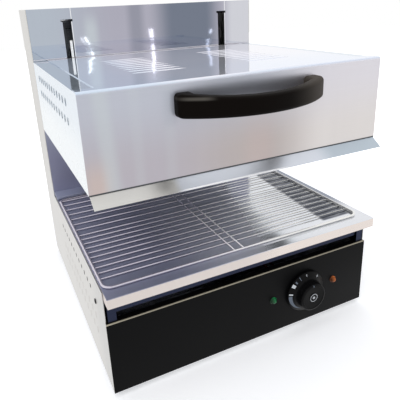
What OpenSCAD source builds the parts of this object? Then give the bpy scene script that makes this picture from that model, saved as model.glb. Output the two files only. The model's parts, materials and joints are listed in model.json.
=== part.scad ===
// Cheese melter: an electric lift-head salamander grill for a counter.
// Millimetres, +Z up, +X to the right seen from the front, the front towards -Y.
// The origin is on the bench, under the middle of the whole machine's outline.
// Below, y = 0 is the face of the control panel, and at_frame() moves it to that origin.

/* [Body] */
// Width over the side cheeks
body_w = 450; // [390:5:600]
// Depth from the control panel's face to the rear cover's face
body_d = 468; // [400:2:600]
// Height from the bench to the top of the column
body_h = 520; // [500:5:640]
// Height of the rubber feet
foot_h = 10; // [6:1:20]
// Thickness of the stainless sheet
sheet = 1.2; // [0.8:0.1:1.6]

/* [Base] */
// Height of the black control panel
panel_h = 115; // [100:1:138]
// Height of the drip tray's top above the control panel
tray_rise = 50; // [46:1:74]
// How far the cheeks' front edges stand back above the control panel
cheek_setback = 4; // [2:0.5:5]

/* [Column] */
// Depth of the rear column
column_d = 103; // [100:1:130]
// Slot centre, measured in from the column's side
slot_inset = 68; // [60:1:90]
// Width of the two lift slots
slot_w = 15; // [12:0.5:18]
// Diameter of the guide rods
guide_rod_d = 12; // [8:0.5:15]
// How far the head can go down from the pose that is modelled
lift_down = 100; // [40:1:110]

/* [Head] */
// Gap between the drip tray's top and the head's lower edge
grill_gap = 134; // [120:1:158]
// Height of the head
head_h = 124; // [110:1:148]
// Gap between the head's back and the column
head_gap = 3; // [2:0.5:6]
// How far the lip below the head's front stands forward
lip_reach = 16.5; // [10:0.5:20]
// How far that lip hangs down
lip_drop = 12.5; // [8:0.5:18]
// Number of grille slots in each patch of the head's top
vent_count = 9; // [5:1:12]
// Diameter of the heating elements' sheath
element_d = 8; // [6:0.5:10]

/* [Handle] */
// Length of the handle
handle_w = 218; // [160:2:260]
// Height of the handle where it meets the head
handle_h = 30; // [24:1:36]
// Thickness of the handle's bow
handle_t = 15; // [12:0.5:18]
// Reach of the handle in front of the head
handle_reach = 54; // [44:1:64]
// Centre of the handle, to the right of the middle
handle_x = -1; // [-10:1:10]

/* [Controls] */
// Centre of the knob, to the right of the middle
knob_x = 99; // [60:1:130]
// Distance from the knob's centre to each lamp
lamp_pitch = 60; // [48:1:70]
// Height of the knob and lamps above the panel's lower edge
control_rise = 60; // [45:1:75]
// Diameter of the knob's skirt
knob_skirt_d = 70; // [56:1:80]
// Diameter of the knob's grip
knob_grip_d = 48; // [34:1:48]

/* [Tray and rack] */
// Depth of the drip tray's folded edges
tray_edge = 15; // [10:0.5:20]
// Overhang of the drip tray in front of the control panel
tray_overhang = 16.5; // [10:0.5:25]
// Diameter of the rack's frame rod
rack_rod_d = 4; // [4:0.5:6]
// Diameter of the rack's wires
rack_wire_d = 2; // [2:0.25:3.5]
// Number of closely spaced wires in the rack's front half
rack_front_wires = 10; // [6:1:10]
// Number of wires behind them
rack_rear_wires = 7; // [4:1:10]

/* [Cord entry] */
// Bore of the cable gland
gland_bore = 10; // [8:0.5:11]

/* [Hidden] */

$fn = 48;
arc_steps = 8;               // straight pieces in a quarter round
running_gap = 0.04;          // radial gap of a shaft that turns or slides

// Levels and planes of the base
half_w = body_w / 2;
inner_x = half_w - sheet;    // inner face of the cheeks
base_z = foot_h;
panel_top = base_z + panel_h;
panel_return = 12;
tray_top = panel_top + tray_rise;
deck_top = tray_top - tray_edge;
cheek_top = tray_top - 1.5;
cheek_return = 14;
pan_lip = 18;
deck_y = cheek_setback + 2;  // front face of the deck's folded edge
deck_drop = 23;
deck_edge = 12;
bracket_w = 12;
bracket_gap = 2.8;           // dark gap between a bracket and its cheek
bracket_y = 3;
bracket_foot = [23, 66];     // the part of a bracket that lies on the cheek, along y
bracket_foot_z = [-7, 21];   // the same, above and below the panel's top

// Column
column_y = body_d - column_d;
column_foot = deck_top - 15;
back_in = body_d - sheet;    // inner face of the rear cover
cap_edge = 12;
ledge_z = tray_top + 6;
ledge_depth = 32;
ledge_lip = 4.5;

// Head, at the pose in which it is modelled
head_z = tray_top + grill_gap;
head_top = head_z + head_h;
head_d = column_y - head_gap;
head_fold = 4;               // outer radius of the hood's front fold
hood_strip = 19;             // full-width strip of the hood's top behind its front
side_flange = 25;            // visible width of the side panels' top edges
flange_tuck = 8;             // part of that edge that lies under the hood
head_return = 12;
tail_rise = 31;              // the arms' tails above the head's top
slot_spare = 7;
slot_cap = 19;               // column above the slots
slot_top = body_h - slot_cap;
lift_up = slot_top - slot_spare - tail_rise - head_top;
arm_t = 5;
arm_low = head_z + 26;
arm_high = head_top - 8;
slot_bottom = arm_low - lift_down - 5;
slot_x = half_w - slot_inset;
arm_x = slot_x - slot_w / 2 + 1;   // inner face of an arm
tail_y = [column_y + 3, column_y + 17];
tab_y = head_d - sheet - arm_t;
tab_w = 32;

// Guide rods and sliders
block_w = 34;
block_l = 36;
block_h = 60;
block_x = arm_x + arm_t;
block_z = head_z + 32;
guide_r = guide_rod_d / 2;
bush_r = guide_r + 3;
bush_h = 16;
rod_x = block_x + block_w / 2;
rod_y = column_y + 55;
buffer_h = 12;
buffer_r = guide_r + 5;
beam_t = 3;
beam_half = 26;
beam_edge = 30;
upper_beam_z = slot_top - beam_t;
lower_beam_z = block_z - lift_down - buffer_h - 0.5;
ear_l = 20;
ear_t = 8;
spring_r = 7;
spring_wire = 1.8;
spring_x = block_x + block_w + 10;

// Reflector and heating elements
refl_x0 = -half_w + 37;
refl_x1 = inner_x - 14;
refl_y0 = 18;
refl_y1 = head_d - 16;
refl_h = 38;
refl_t = 1;
leg_pitch = (refl_y1 - refl_y0) / 8;
bend_r = leg_pitch / 2;
element_z = head_z + 20;
element_r = element_d / 2;
bend_right = refl_x1 - 14 - bend_r;
bend_left = refl_x0 + 18 + bend_r;
hanger_x = 100;
hanger_t = 2;
blanket_h = 40;

// Handle: a bow whose outer arc rises from the shoulders, and a leg at each end
handle_z = head_top - 14.5 - handle_h / 2;
handle_leg = 24;
handle_corner = 8;           // outer radius where the bow meets a leg
handle_rise = handle_reach - 14;
handle_r = ((handle_w / 2) ^ 2 + handle_rise ^ 2) / (2 * handle_rise);
handle_c = handle_r - handle_reach;
handle_a = asin((handle_w / 2 - handle_corner) / (handle_r - handle_corner));
handle_corner_y = handle_c - (handle_r - handle_corner) * cos(handle_a);
handle_steps = 40;           // straight pieces in the bow
handle_screw_r = 2.5;
handle_screw_l = 12;

// Vents
vent_w = 77;
vent_x = 89;
vent_slot = 5;
vent_pitch = 21;
louvre_w = 4;
louvre_h = 10;
louvre_pitch = 21;
side_louvre_y = 75;          // first louvre, from the head's front
side_louvre_end = 55;        // the last one's distance from the head's back, at least
side_louvre_z = [101, 76];   // above the head's lower edge
base_vent_h = 6;
base_vent_pitch = 19.5;
base_vent_y = 80;            // first small vent, from the control panel
base_louvre_y = 66;          // first louvre, from the control panel
base_louvre_end = 63;        // the last one's distance from the column, at least
base_louvre_z = [88, 62];    // above the base's lower edge
pan_slot_y = [body_d - 178, body_d - 128];

// Controls
control_z = base_z + control_rise;
shaft_r = 3;
knob_back = 3;               // gap between knob and panel
skirt_t = 7;
knob_front = 26;
knob_bore = 18;              // depth of the shaft in the knob, from the panel's face
knob_cap_r = 8;
knob_cap_t = 1.2;
lamp_r = 5;
lamp_shank_r = 4.5;
housing_r = 8;
housing_l = 24;
regulator_w = 42;
regulator_l = 36;

// Tray and rack
tray_t = 1;
tray_gap = 0.5;
tray_x = inner_x - tray_gap;
tray_back = column_y - 7;
rack_left = -tray_x + 1;
rack_right = tray_x - 14;
rack_y = [2, ledge_y() - 6];
rack_gap = 0.3;              // the rack lies loose on the tray
rod_r = rack_rod_d / 2;
wire_r = rack_wire_d / 2;
rod_z = tray_top + rack_gap + rod_r;
rack_corner = 12;
front_wire_y = rack_y[0] + 27;
front_wire_pitch = 15.1;
front_wire_end = front_wire_y + (rack_front_wires - 1) * front_wire_pitch;
rear_wire_pitch = (rack_y[1] - 10.5 - front_wire_end) / rack_rear_wires;
long_wire_pitch = 15;
long_wire_shift = -13.7;

// Rear fittings
gland_x = half_w - 55;
gland_z = base_z + 38;
gland_reach = 20;
gland_af = 22;
gland_thread_r = 8;
gland_tail = 12;
locknut_t = 3;
block_at = [gland_x - 20, body_d - 45];
screw_z = [base_z + 25, base_z + 170, body_h - 170, body_h - 30];
screw_r = 2;
screw_head_r = 4;
foot_at = [30, 48];          // from the side and from the front or back
foot_r = 16;
cover_vent_z = [base_z + 60, base_z + 110, body_h - 90];

// The whole outline runs from the handle's front to the gland's end
frame_y = (handle_reach - body_d - gland_reach) / 2;

function ledge_y() = column_y - ledge_depth;
function spread(a, b, n) = [for (i = [0:n - 1]) a + (b - a) * i / (n - 1)];
function row(from, to, pitch) = [for (i = [0:floor((to - from) / pitch)]) from + i * pitch];
function centred(n, pitch) = [for (i = [0:n - 1]) (i - (n - 1) / 2) * pitch];
function arc(cx, cy, r, from, to, n = arc_steps) =
    [for (i = [0:n]) [cx + r * cos(from + (to - from) * i / n),
                      cy + r * sin(from + (to - from) * i / n)]];

// ---- Helpers ----------------------------------------------------------------

module at_frame() translate([0, frame_y, 0]) children();
module on_side(side) mirror([side < 0 ? 1 : 0, 0, 0]) children();
module rect(a0, a1, b0, b1) translate([a0, b0]) square([a1 - a0, b1 - b0]);
module xy_plate(z0, z1) translate([0, 0, z0]) linear_extrude(z1 - z0) children();
module xz_plate(y0, y1) translate([0, y1, 0]) rotate([90, 0, 0]) linear_extrude(y1 - y0) children();
module yz_plate(x0, x1) translate([x0, 0, 0]) rotate([90, 0, 90]) linear_extrude(x1 - x0) children();
module bar_x(r, x0, x1) translate([x0, 0, 0]) rotate([0, 90, 0]) cylinder(r = r, h = x1 - x0);
module bar_y(r, y0, y1) translate([0, y0, 0]) rotate([-90, 0, 0]) cylinder(r = r, h = y1 - y0);
module bar_z(r, z0, z1) translate([0, 0, z0]) cylinder(r = r, h = z1 - z0);

// A slot with round ends, w along its first axis and h along its second
module slot2(w, h) {
    r = min(w, h) / 2;
    if (w > h) {
        square([w - h, h], center = true);
        for (s = [-1, 1]) translate([s * (w - h) / 2, 0]) circle(r);
    } else {
        square([w, h - w], center = true);
        for (s = [-1, 1]) translate([0, s * (h - w) / 2]) circle(r);
    }
}

// ---- Base -------------------------------------------------------------------

module base_pan() color("silver") at_frame() {
    y0 = 2 * sheet;
    y1 = back_in - sheet;
    difference() {
        union() {
            xy_plate(base_z, base_z + sheet) rect(-inner_x, inner_x, y0, y1);
            for (s = [-1, 1]) on_side(s)
                yz_plate(inner_x - sheet, inner_x) rect(y0, y1, base_z, base_z + pan_lip);
            xz_plate(y0, y0 + sheet) rect(-inner_x, inner_x, base_z, base_z + pan_lip);
            xz_plate(y1 - sheet, y1) rect(-inner_x, inner_x, base_z, base_z + pan_lip);
        }
        at_feet() bar_z(2.5, base_z - 1, base_z + sheet + 1);
        for (x = spread(-120, 120, 9), y = pan_slot_y)
            translate([x, y, base_z - 1]) linear_extrude(sheet + 2) slot2(5, 30);
    }
}

module at_feet() for (sx = [-1, 1], y = [foot_at[1], body_d - foot_at[1]])
    translate([sx * (half_w - foot_at[0]), y, 0]) children();

// The outline of a cheek: the base's side and the column's side are one sheet
module cheek_outline() polygon([
    [sheet, base_z], [back_in, base_z], [back_in, body_h], [column_y, body_h],
    [column_y, cheek_top], [cheek_setback, cheek_top], [cheek_setback, panel_top],
    [sheet, panel_top]]);

module cheek_vents() {
    for (y = row(base_vent_y, column_y - base_louvre_end, base_vent_pitch))
        translate([y, panel_top + 14]) slot2(louvre_w, base_vent_h);
    for (y = row(base_louvre_y, column_y - base_louvre_end, louvre_pitch), z = base_louvre_z)
        translate([y, base_z + z]) slot2(louvre_w, louvre_h);
    translate([column_y - 26, deck_top + 2]) circle(2);
}

module cheek() {
    yz_plate(inner_x, half_w) difference() {
        cheek_outline();
        cheek_vents();
        for (p = cheek_screw_spots()) translate(p) circle(screw_r);
    }
    xz_plate(sheet, 2 * sheet)
        rect(inner_x - cheek_return, inner_x, base_z, panel_top - 3);
    xz_plate(back_in - sheet, back_in) difference() {
        rect(inner_x - cheek_return, inner_x, base_z, body_h - 16);
        for (z = screw_z) translate([half_w - 8, z]) circle(screw_r);
    }
}

function cheek_screw_spots() = [[54, panel_top + 4]];

module left_cheek() color("gainsboro") at_frame() on_side(-1) cheek();
module right_cheek() color("gainsboro") at_frame() cheek();

module control_panel() color("#1c1c1e") at_frame() difference() {
    union() {
        xz_plate(0, sheet) rect(-half_w, half_w, base_z, panel_top);
        xy_plate(panel_top - sheet, panel_top) rect(-inner_x, inner_x, sheet, panel_return);
    }
    translate([knob_x, 0, control_z]) {
        bar_y(5, -1, sheet + 1);
        for (s = [-1, 1]) translate([s * 14, 0, 0]) bar_y(1.5, -1, sheet + 1);
    }
    for (s = [-1, 1]) translate([knob_x + s * lamp_pitch, 0, control_z])
        bar_y(lamp_shank_r, -1, sheet + 1);
}

// A folded bracket: a post on the panel's top edge, and a foot screwed to the cheek
module tray_bracket() {
    x1 = inner_x - bracket_gap;
    x0 = x1 - bracket_w;
    top = deck_top - sheet;
    turn = bracket_foot[0];
    xz_plate(bracket_y, bracket_y + sheet) rect(x0, x1, panel_top, top);
    yz_plate(x0, x0 + sheet) rect(bracket_y, turn, panel_top, top);
    xz_plate(turn - sheet, turn) rect(x0, inner_x, panel_top, top - deck_edge);
    yz_plate(inner_x - sheet, inner_x) difference() {
        rect(turn - sheet, bracket_foot[1], panel_top + bracket_foot_z[0],
             min(panel_top + bracket_foot_z[1], top - deck_edge));
        for (p = cheek_screw_spots()) translate(p) circle(screw_r);
    }
}

module left_tray_bracket() color("lightslategray") at_frame() on_side(-1) tray_bracket();
module right_tray_bracket() color("lightslategray") at_frame() tray_bracket();

module deck_plate() color("slategray") at_frame() {
    between = inner_x - bracket_gap - bracket_w - 0.5;
    xy_plate(deck_top - sheet, deck_top) rect(-inner_x, inner_x, deck_y, column_y);
    xz_plate(deck_y, deck_y + sheet) rect(-between, between, deck_top - deck_drop, deck_top);
    xz_plate(column_y - sheet, column_y) rect(-inner_x, inner_x, deck_top - deck_edge, deck_top);
    for (s = [-1, 1]) on_side(s)
        yz_plate(inner_x - sheet, inner_x)
            rect(deck_y, column_y, deck_top - deck_edge, deck_top);
}

module rear_ledge() color("lightsteelblue") at_frame() {
    y0 = ledge_y();
    xy_plate(ledge_z - sheet, ledge_z) rect(-inner_x, inner_x, y0, column_y);
    xz_plate(y0, y0 + sheet) rect(-inner_x, inner_x, ledge_z - ledge_lip, ledge_z);
    xz_plate(column_y - sheet, column_y) rect(-inner_x, inner_x, deck_top, ledge_z);
}

// ---- Column -----------------------------------------------------------------

module lift_slot() {
    translate([slot_x, (slot_bottom + slot_top) / 2])
        square([slot_w, slot_top - slot_bottom], center = true);
    translate([slot_x, slot_top - 2]) square([slot_w + 6, 4], center = true);
}

module column_panel() color("lightsteelblue") at_frame() {
    xz_plate(column_y, column_y + sheet) difference() {
        rect(-inner_x, inner_x, column_foot, body_h);
        for (s = [-1, 1]) mirror([s < 0 ? 1 : 0, 0]) lift_slot();
    }
    for (s = [-1, 1]) on_side(s)
        yz_plate(inner_x - sheet, inner_x)
            rect(column_y + sheet, column_y + cheek_return, column_foot, body_h - 16);
}

module column_cap() color("gainsboro") at_frame() {
    y0 = column_y + sheet;
    z0 = body_h - sheet - cap_edge;
    xy_plate(body_h - sheet, body_h) rect(-inner_x, inner_x, y0, back_in);
    xz_plate(y0, y0 + sheet) rect(-inner_x, inner_x, z0, body_h);
    xz_plate(back_in - sheet, back_in) rect(-inner_x, inner_x, z0, body_h);
    for (s = [-1, 1]) on_side(s) yz_plate(inner_x - sheet, inner_x) rect(y0, back_in, z0, body_h);
}

module rear_cover() color("silver") at_frame() xz_plate(back_in, body_d) difference() {
    rect(-half_w, half_w, base_z, body_h);
    translate([gland_x, gland_z]) circle(gland_thread_r);
    for (s = [-1, 1], z = screw_z) translate([s * (half_w - 8), z]) circle(screw_r);
    for (x = spread(-110, 110, 12), z = cover_vent_z) translate([x, z]) slot2(louvre_w, 34);
}

// A folded beam across the column, with a hole for each guide rod
module beam(z) difference() {
    union() {
        xy_plate(z, z + beam_t)
            rect(-inner_x, inner_x, rod_y - beam_half, rod_y + beam_half);
        for (s = [-1, 1]) on_side(s) yz_plate(inner_x - beam_t, inner_x)
            rect(rod_y - beam_half, rod_y + beam_half, z - beam_edge, z + beam_t);
    }
    for (s = [-1, 1]) translate([s * rod_x, rod_y, 0]) bar_z(guide_r, z - 1, z + beam_t + 1);
}

module upper_beam() color("darkgray") at_frame() beam(upper_beam_z);
module lower_beam() color("darkgray") at_frame() beam(lower_beam_z - beam_t);

module guide_rod() translate([rod_x, rod_y, 0])
    bar_z(guide_r, lower_beam_z - beam_t, upper_beam_z + beam_t);
module left_guide_rod() color("lightgray") at_frame() on_side(-1) guide_rod();
module right_guide_rod() color("lightgray") at_frame() guide_rod();

// A counterbalance spring, as the closed tube that its coil fills
module balance_spring() translate([spring_x, rod_y, 0]) difference() {
    bar_z(spring_r, block_z + ear_t, upper_beam_z);
    bar_z(spring_r - spring_wire, block_z + ear_t - 1, upper_beam_z + 1);
}
module left_spring() color("gray") at_frame() on_side(-1) balance_spring();
module right_spring() color("gray") at_frame() balance_spring();

module rod_buffers() color("#303030") at_frame()
    for (s = [-1, 1], z = [lower_beam_z, block_z + block_h + lift_up + 0.5])
        translate([s * rod_x, rod_y, 0]) difference() {
            bar_z(buffer_r, z, z + buffer_h);
            bar_z(guide_r, z - 1, z + buffer_h + 1);
        }

// ---- Feet and fasteners -----------------------------------------------------

module foot(sx, y) color("#202020") at_frame() translate([sx * (half_w - foot_at[0]), y, 0])
    difference() {
        cylinder(r1 = foot_r - 2, r2 = foot_r, h = foot_h);
        bar_z(5.5, -1, 3);
        bar_z(2.5, -1, foot_h + 1);
    }
module front_left_foot() foot(-1, foot_at[1]);
module front_right_foot() foot(1, foot_at[1]);
module rear_left_foot() foot(-1, body_d - foot_at[1]);
module rear_right_foot() foot(1, body_d - foot_at[1]);

module foot_screws() color("silver") at_frame() at_feet() {
    bar_z(2.5, 2, base_z + sheet + 6);
    bar_z(4.5, 1, 3);
    translate([0, 0, base_z + sheet]) cylinder(r = 4.6, h = 4, $fn = 6);
}

module cover_screws() color("silver") at_frame()
    for (s = [-1, 1], z = screw_z) translate([s * (half_w - 8), 0, z]) {
        bar_y(screw_r, body_d - 8, body_d);
        bar_y(screw_head_r, body_d, body_d + 2);
    }

module cheek_screws() color("silver") at_frame()
    for (s = [-1, 1], p = cheek_screw_spots()) on_side(s) translate([0, p[0], p[1]]) {
        bar_x(screw_r, inner_x - 5, half_w);
        bar_x(screw_head_r, half_w, half_w + 1.5);
    }

// ---- Controls ---------------------------------------------------------------

module heat_regulator() color("ivory") at_frame() translate([knob_x, 0, control_z])
    difference() {
        union() {
            xz_plate(sheet, sheet + regulator_l)
                square(regulator_w, center = true);
            bar_y(5, 0, sheet);
        }
        bar_y(shaft_r + running_gap, -1, 16);
        for (s = [-1, 1]) translate([s * 14, 0, 0]) bar_y(1.5, 0, 8);
    }

module regulator_screws() color("silver") at_frame() translate([knob_x, 0, control_z])
    for (s = [-1, 1]) translate([s * 14, 0, 0]) {
        bar_y(1.5, 0, 7);
        bar_y(3, -1.8, 0);
    }

module regulator_shaft() color("goldenrod") at_frame() translate([knob_x, 0, control_z])
    bar_y(shaft_r, -knob_bore, 14);

// Skirt with the dial, and a round grip in front of it
module knob() color("#151515") at_frame() translate([knob_x, 0, control_z]) difference() {
    rotate([90, 0, 0]) rotate_extrude() polygon(concat(
        [[0, knob_back], [knob_skirt_d / 2, knob_back], [knob_skirt_d / 2, knob_back + 3],
         [knob_skirt_d / 2 - 2, knob_back + skirt_t], [knob_grip_d / 2, knob_back + skirt_t]],
        arc(knob_grip_d / 2 - 3.5, knob_front - 3, 3, 0, 90),
        [[0, knob_front]]));
    bar_y(shaft_r, -knob_bore, 0);
    bar_y(knob_cap_r, -knob_front - 1, -knob_front + knob_cap_t);
}

module knob_cap() color("silver") at_frame() translate([knob_x, 0, control_z])
    bar_y(knob_cap_r, -knob_front - 0.3, -knob_front + knob_cap_t);

module lamp(side) at_frame() translate([knob_x + side * lamp_pitch, 0, control_z])
    rotate([90, 0, 0]) rotate_extrude() polygon(concat(
        [[0, -sheet - 7], [lamp_shank_r, -sheet - 7], [lamp_shank_r, 0], [lamp_r + 1, 0],
         [lamp_r + 1, 1.2]],
        arc(0, 1.2, lamp_r, 0, 90)));
module green_lamp() color("seagreen") lamp(-1);
module amber_lamp() color("darkorange") lamp(1);

module lamp_housings() color("whitesmoke") at_frame()
    for (s = [-1, 1]) translate([knob_x + s * lamp_pitch, 0, control_z]) difference() {
        bar_y(housing_r, sheet, sheet + housing_l);
        bar_y(lamp_shank_r, 0, sheet + 7);
    }

// ---- Cord entry and wiring --------------------------------------------------

module terminal_block() color("ivory") at_frame()
    translate([block_at[0], block_at[1], base_z + sheet]) difference() {
        translate([-24, -11, 0]) cube([48, 22, 18]);
        for (x = [-15, 0, 15]) translate([x, 0, 0]) {
            bar_z(3, 10, 19);
            translate([0, 0, 6]) bar_y(2, -12, 12);
        }
    }

module cable_gland() color("#202020") at_frame() translate([gland_x, 0, gland_z])
    difference() {
        union() {
            bar_y(gland_thread_r, body_d - gland_tail, body_d);
            translate([0, body_d, 0]) rotate([-90, 0, 0])
                cylinder(d = gland_af / cos(30), h = 6, $fn = 6);
            bar_y(10, body_d + 6, body_d + gland_reach - 4);
            translate([0, body_d + gland_reach - 4, 0]) rotate([-90, 0, 0])
                cylinder(r1 = 10, r2 = 7.5, h = 4);
        }
        bar_y(gland_bore / 2, body_d - gland_tail - 1, body_d + gland_reach + 1);
    }

module gland_locknut() color("#202020") at_frame() translate([gland_x, 0, gland_z])
    difference() {
        translate([0, back_in - locknut_t, 0]) rotate([-90, 0, 0])
            cylinder(d = 26, h = locknut_t, $fn = 6);
        bar_y(gland_thread_r, back_in - locknut_t - 1, back_in + 1);
    }

// A lead of straight runs with round corners, from point to point
module lead(points, r = 1.5) for (i = [0:len(points) - 2]) {
    a = points[i];
    d = points[i + 1] - a;
    translate(a) {
        rotate([0, acos(d[2] / norm(d)), atan2(d[1], d[0])]) cylinder(r = r, h = norm(d));
        if (i > 0) sphere(r);
    }
}

module control_leads() color("saddlebrown") at_frame() {
    floor_z = base_z + sheet + 1.5;
    front = block_at[1] - 11;
    regulator_back = sheet + regulator_l;
    for (s = [-1, 1]) {
        x = knob_x + 10 * s;
        from_x = block_at[0] + 7.5 * (s - 1);
        lead([[from_x, front + 5, floor_z + 4.5], [from_x, front - 8, floor_z + 4.5],
              [from_x, front - 8, floor_z], [from_x, 70 + 8 * s, floor_z],
              [x, 70 + 8 * s, floor_z], [x, 70 + 8 * s, control_z - 10],
              [x, regulator_back, control_z - 10]]);
        lamp_x = knob_x + s * lamp_pitch;
        lead([[knob_x + s * (regulator_w / 2), 26, control_z],
              [lamp_x - s * housing_r, 26, control_z]]);
    }
}

// ---- Head -------------------------------------------------------------------

// Front and top of the head are one folded sheet
module head_hood() color("gainsboro") at_frame() {
    inner_r = head_fold - sheet;
    top = head_top - head_fold;
    on_top = head_top - sheet;
    difference() {
        yz_plate(-half_w, half_w) polygon(concat(
            [[0, head_z]],
            arc(head_fold, top, head_fold, 180, 90),
            [[hood_strip, head_top], [hood_strip, on_top]],
            arc(head_fold, top, inner_r, 90, 180),
            [[sheet, head_z]]));
        at_handle_screws() bar_y(handle_screw_r, -1, sheet + 1);
    }
    xy_plate(head_z, head_z + sheet) rect(-inner_x, inner_x, sheet, 14);
    xy_plate(on_top, head_top) difference() {
        rect(-half_w + side_flange, half_w - side_flange, hood_strip - 1, head_d);
        for (s = [-1, 1], y = centred(vent_count, vent_pitch))
            translate([s * vent_x, head_d / 2 + y]) slot2(vent_w, vent_slot);
    }
}

module head_side() {
    under = head_top - sheet;
    inner_r = head_fold - sheet;
    y1 = head_d - sheet;
    yz_plate(inner_x, half_w) difference() {
        polygon(concat([[sheet, head_z], [y1, head_z], [y1, under], [head_fold, under]],
                       arc(head_fold, head_top - head_fold, inner_r, 90, 180)));
        for (y = row(side_louvre_y, head_d - side_louvre_end, louvre_pitch), z = side_louvre_z)
            translate([y, head_z + z]) slot2(louvre_w, louvre_h);
    }
    xy_plate(under - sheet, under)
        rect(half_w - side_flange - flange_tuck, inner_x, head_fold + 1, y1);
    xy_plate(head_z, head_z + sheet) rect(inner_x - head_return, inner_x, 14, y1);
    xz_plate(y1 - sheet, y1)
        rect(inner_x - head_return, inner_x, head_z + sheet, under - sheet);
}
module head_left_side() color("lavender") at_frame() on_side(-1) head_side();
module head_right_side() color("lavender") at_frame() head_side();

module head_back() color("silver") at_frame() xz_plate(head_d - sheet, head_d) difference() {
    rect(-half_w, half_w, head_z, head_top - sheet);
    for (s = [-1, 1]) mirror([s < 0 ? 1 : 0, 0]) {
        rect(arm_x - 0.3, arm_x + arm_t + 0.3, arm_low - 0.3, arm_high + 0.3);
        for (z = tab_bolt_z()) translate([arm_x + arm_t + 16, z]) circle(3);
    }
}
function tab_bolt_z() = spread(arm_low + 14, arm_high - 14, 3);

// The lip leans out below the front, to catch heat and steam
module head_lip() color("whitesmoke") at_frame()
    yz_plate(-half_w + 1, half_w - 1) polygon([
        [16, head_z], [0.6, head_z], [-lip_reach, head_z - lip_drop + 0.6],
        [-lip_reach + 0.7, head_z - lip_drop], [1.6, head_z - sheet], [16, head_z - sheet]]);

module reflector() color("silver") at_frame() {
    z0 = head_z + sheet;
    z1 = head_z + refl_h;
    difference() {
        union() {
            translate([refl_x0, refl_y0, z0]) cube([refl_x1 - refl_x0, refl_y1 - refl_y0, z1 - z0]);
            xy_plate(z0, z0 + refl_t) rect(-inner_x + 1, inner_x - 1, 3, head_d - 2 * sheet - 1);
        }
        translate([refl_x0 + refl_t, refl_y0 + refl_t, z0 - 1])
            cube([refl_x1 - refl_x0 - 2 * refl_t, refl_y1 - refl_y0 - 2 * refl_t,
                  z1 - z0 - refl_t + 1]);
        for (i = [0, 3, 4, 7]) translate([0, leg_y(i), element_z])
            bar_x(element_r, refl_x0 - 1, refl_x0 + refl_t + 1);
    }
}

module insulation_blanket() color("khaki") at_frame()
    translate([refl_x0 + 4, refl_y0 + 4, head_z + refl_h])
        cube([refl_x1 - refl_x0 - 8, refl_y1 - refl_y0 - 8, blanket_h]);

function leg_y(i) = refl_y0 + leg_pitch * (i + 0.5);

// Half a turn of the sheath between two legs, open to the right or to the left
module element_bend(x, y, side) translate([x, y, element_z]) rotate([0, 0, side > 0 ? -90 : 90])
    rotate_extrude(angle = 180) translate([bend_r, 0]) circle(element_r);

module heating_element(first) {
    end_x = refl_x0 - 6;
    for (i = [0:3]) {
        from_x = i == 0 || i == 3 ? end_x : bend_left;
        translate([0, leg_y(first + i), element_z]) bar_x(element_r, from_x, bend_right);
    }
    for (i = [0, 2]) element_bend(bend_right, leg_y(first + i + 0.5), 1);
    element_bend(bend_left, leg_y(first + 1.5), -1);
    for (i = [0, 3]) translate([0, leg_y(first + i), element_z]) bar_x(2, end_x - 9, end_x);
}
module front_element() color("dimgray") at_frame() heating_element(0);
module rear_element() color("dimgray") at_frame() heating_element(4);

module element_hanger() yz_plate(hanger_x, hanger_x + hanger_t) difference() {
    rect(refl_y0 + 4, refl_y1 - 4, element_z - element_r - 3, head_z + refl_h - refl_t);
    for (i = [0:7]) translate([leg_y(i), element_z]) circle(element_r + 0.1);
}
module left_element_hanger() color("gray") at_frame() on_side(-1) element_hanger();
module right_element_hanger() color("gray") at_frame() element_hanger();

// The handle seen from above: a bow of even thickness between two legs
function handle_outline() = let(
    w = handle_w / 2,
    corner = w - handle_corner,
    bow = handle_a,
    inner_bow = asin((w - handle_leg) / (handle_r - handle_t))) concat(
        [[w - handle_leg, 0], [w, 0]],
        arc(corner, handle_corner_y, handle_corner, 360, 270 + bow),
        arc(0, handle_c, handle_r, 270 + bow, 270 - bow, handle_steps),
        arc(-corner, handle_corner_y, handle_corner, 270 - bow, 180),
        [[-w, 0], [handle_leg - w, 0]],
        arc(0, handle_c, handle_r - handle_t, 270 - inner_bow, 270 + inner_bow, handle_steps));

module handle() color("#141414") at_frame() difference() {
    translate([handle_x, 0, 0])
        xy_plate(handle_z - handle_h / 2, handle_z + handle_h / 2) polygon(handle_outline());
    at_handle_screws() bar_y(handle_screw_r, -handle_screw_l, 1);
}

module at_handle_screws() for (s = [-1, 1])
    translate([handle_x + s * (handle_w - handle_leg) / 2, 0, handle_z]) children();

module handle_screws() color("silver") at_frame() at_handle_screws() {
    bar_y(handle_screw_r, -handle_screw_l, sheet);
    bar_y(4.5, sheet, sheet + 3);
}

// ---- Lift gear --------------------------------------------------------------

// A plate that leaves the head through its back, passes the column's slot, lies on its
// slider, and ends in a tail that stands up behind the slot
module lift_arm() {
    back = rod_y + block_l / 2 - 2;
    yz_plate(arm_x, arm_x + arm_t) polygon([
        [tab_y, arm_low], [column_y + 11, arm_low], [rod_y - block_l / 2 - 8, block_z],
        [back, block_z], [back, block_z + block_h],
        [rod_y - block_l / 2 - 2, block_z + block_h], [tail_y[1], arm_high],
        [tail_y[1], head_top + tail_rise - 3], [tail_y[1] - 3, head_top + tail_rise],
        [tail_y[0], head_top + tail_rise], [tail_y[0], arm_high], [tab_y, arm_high]]);
    xz_plate(tab_y, tab_y + arm_t) difference() {
        rect(arm_x, arm_x + tab_w, arm_low, arm_high);
        for (z = tab_bolt_z()) translate([arm_x + arm_t + 16, z]) circle(3);
    }
}

module arm_with_holes() difference() {
    lift_arm();
    for (z = slider_bolt_z()) translate([0, rod_y, z]) bar_x(3, arm_x - 1, arm_x + arm_t + 1);
}
function slider_bolt_z() = [block_z + 15, block_z + block_h - 15];
bolt_depth = min(6, block_w / 2 - bush_r - 1);

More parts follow.
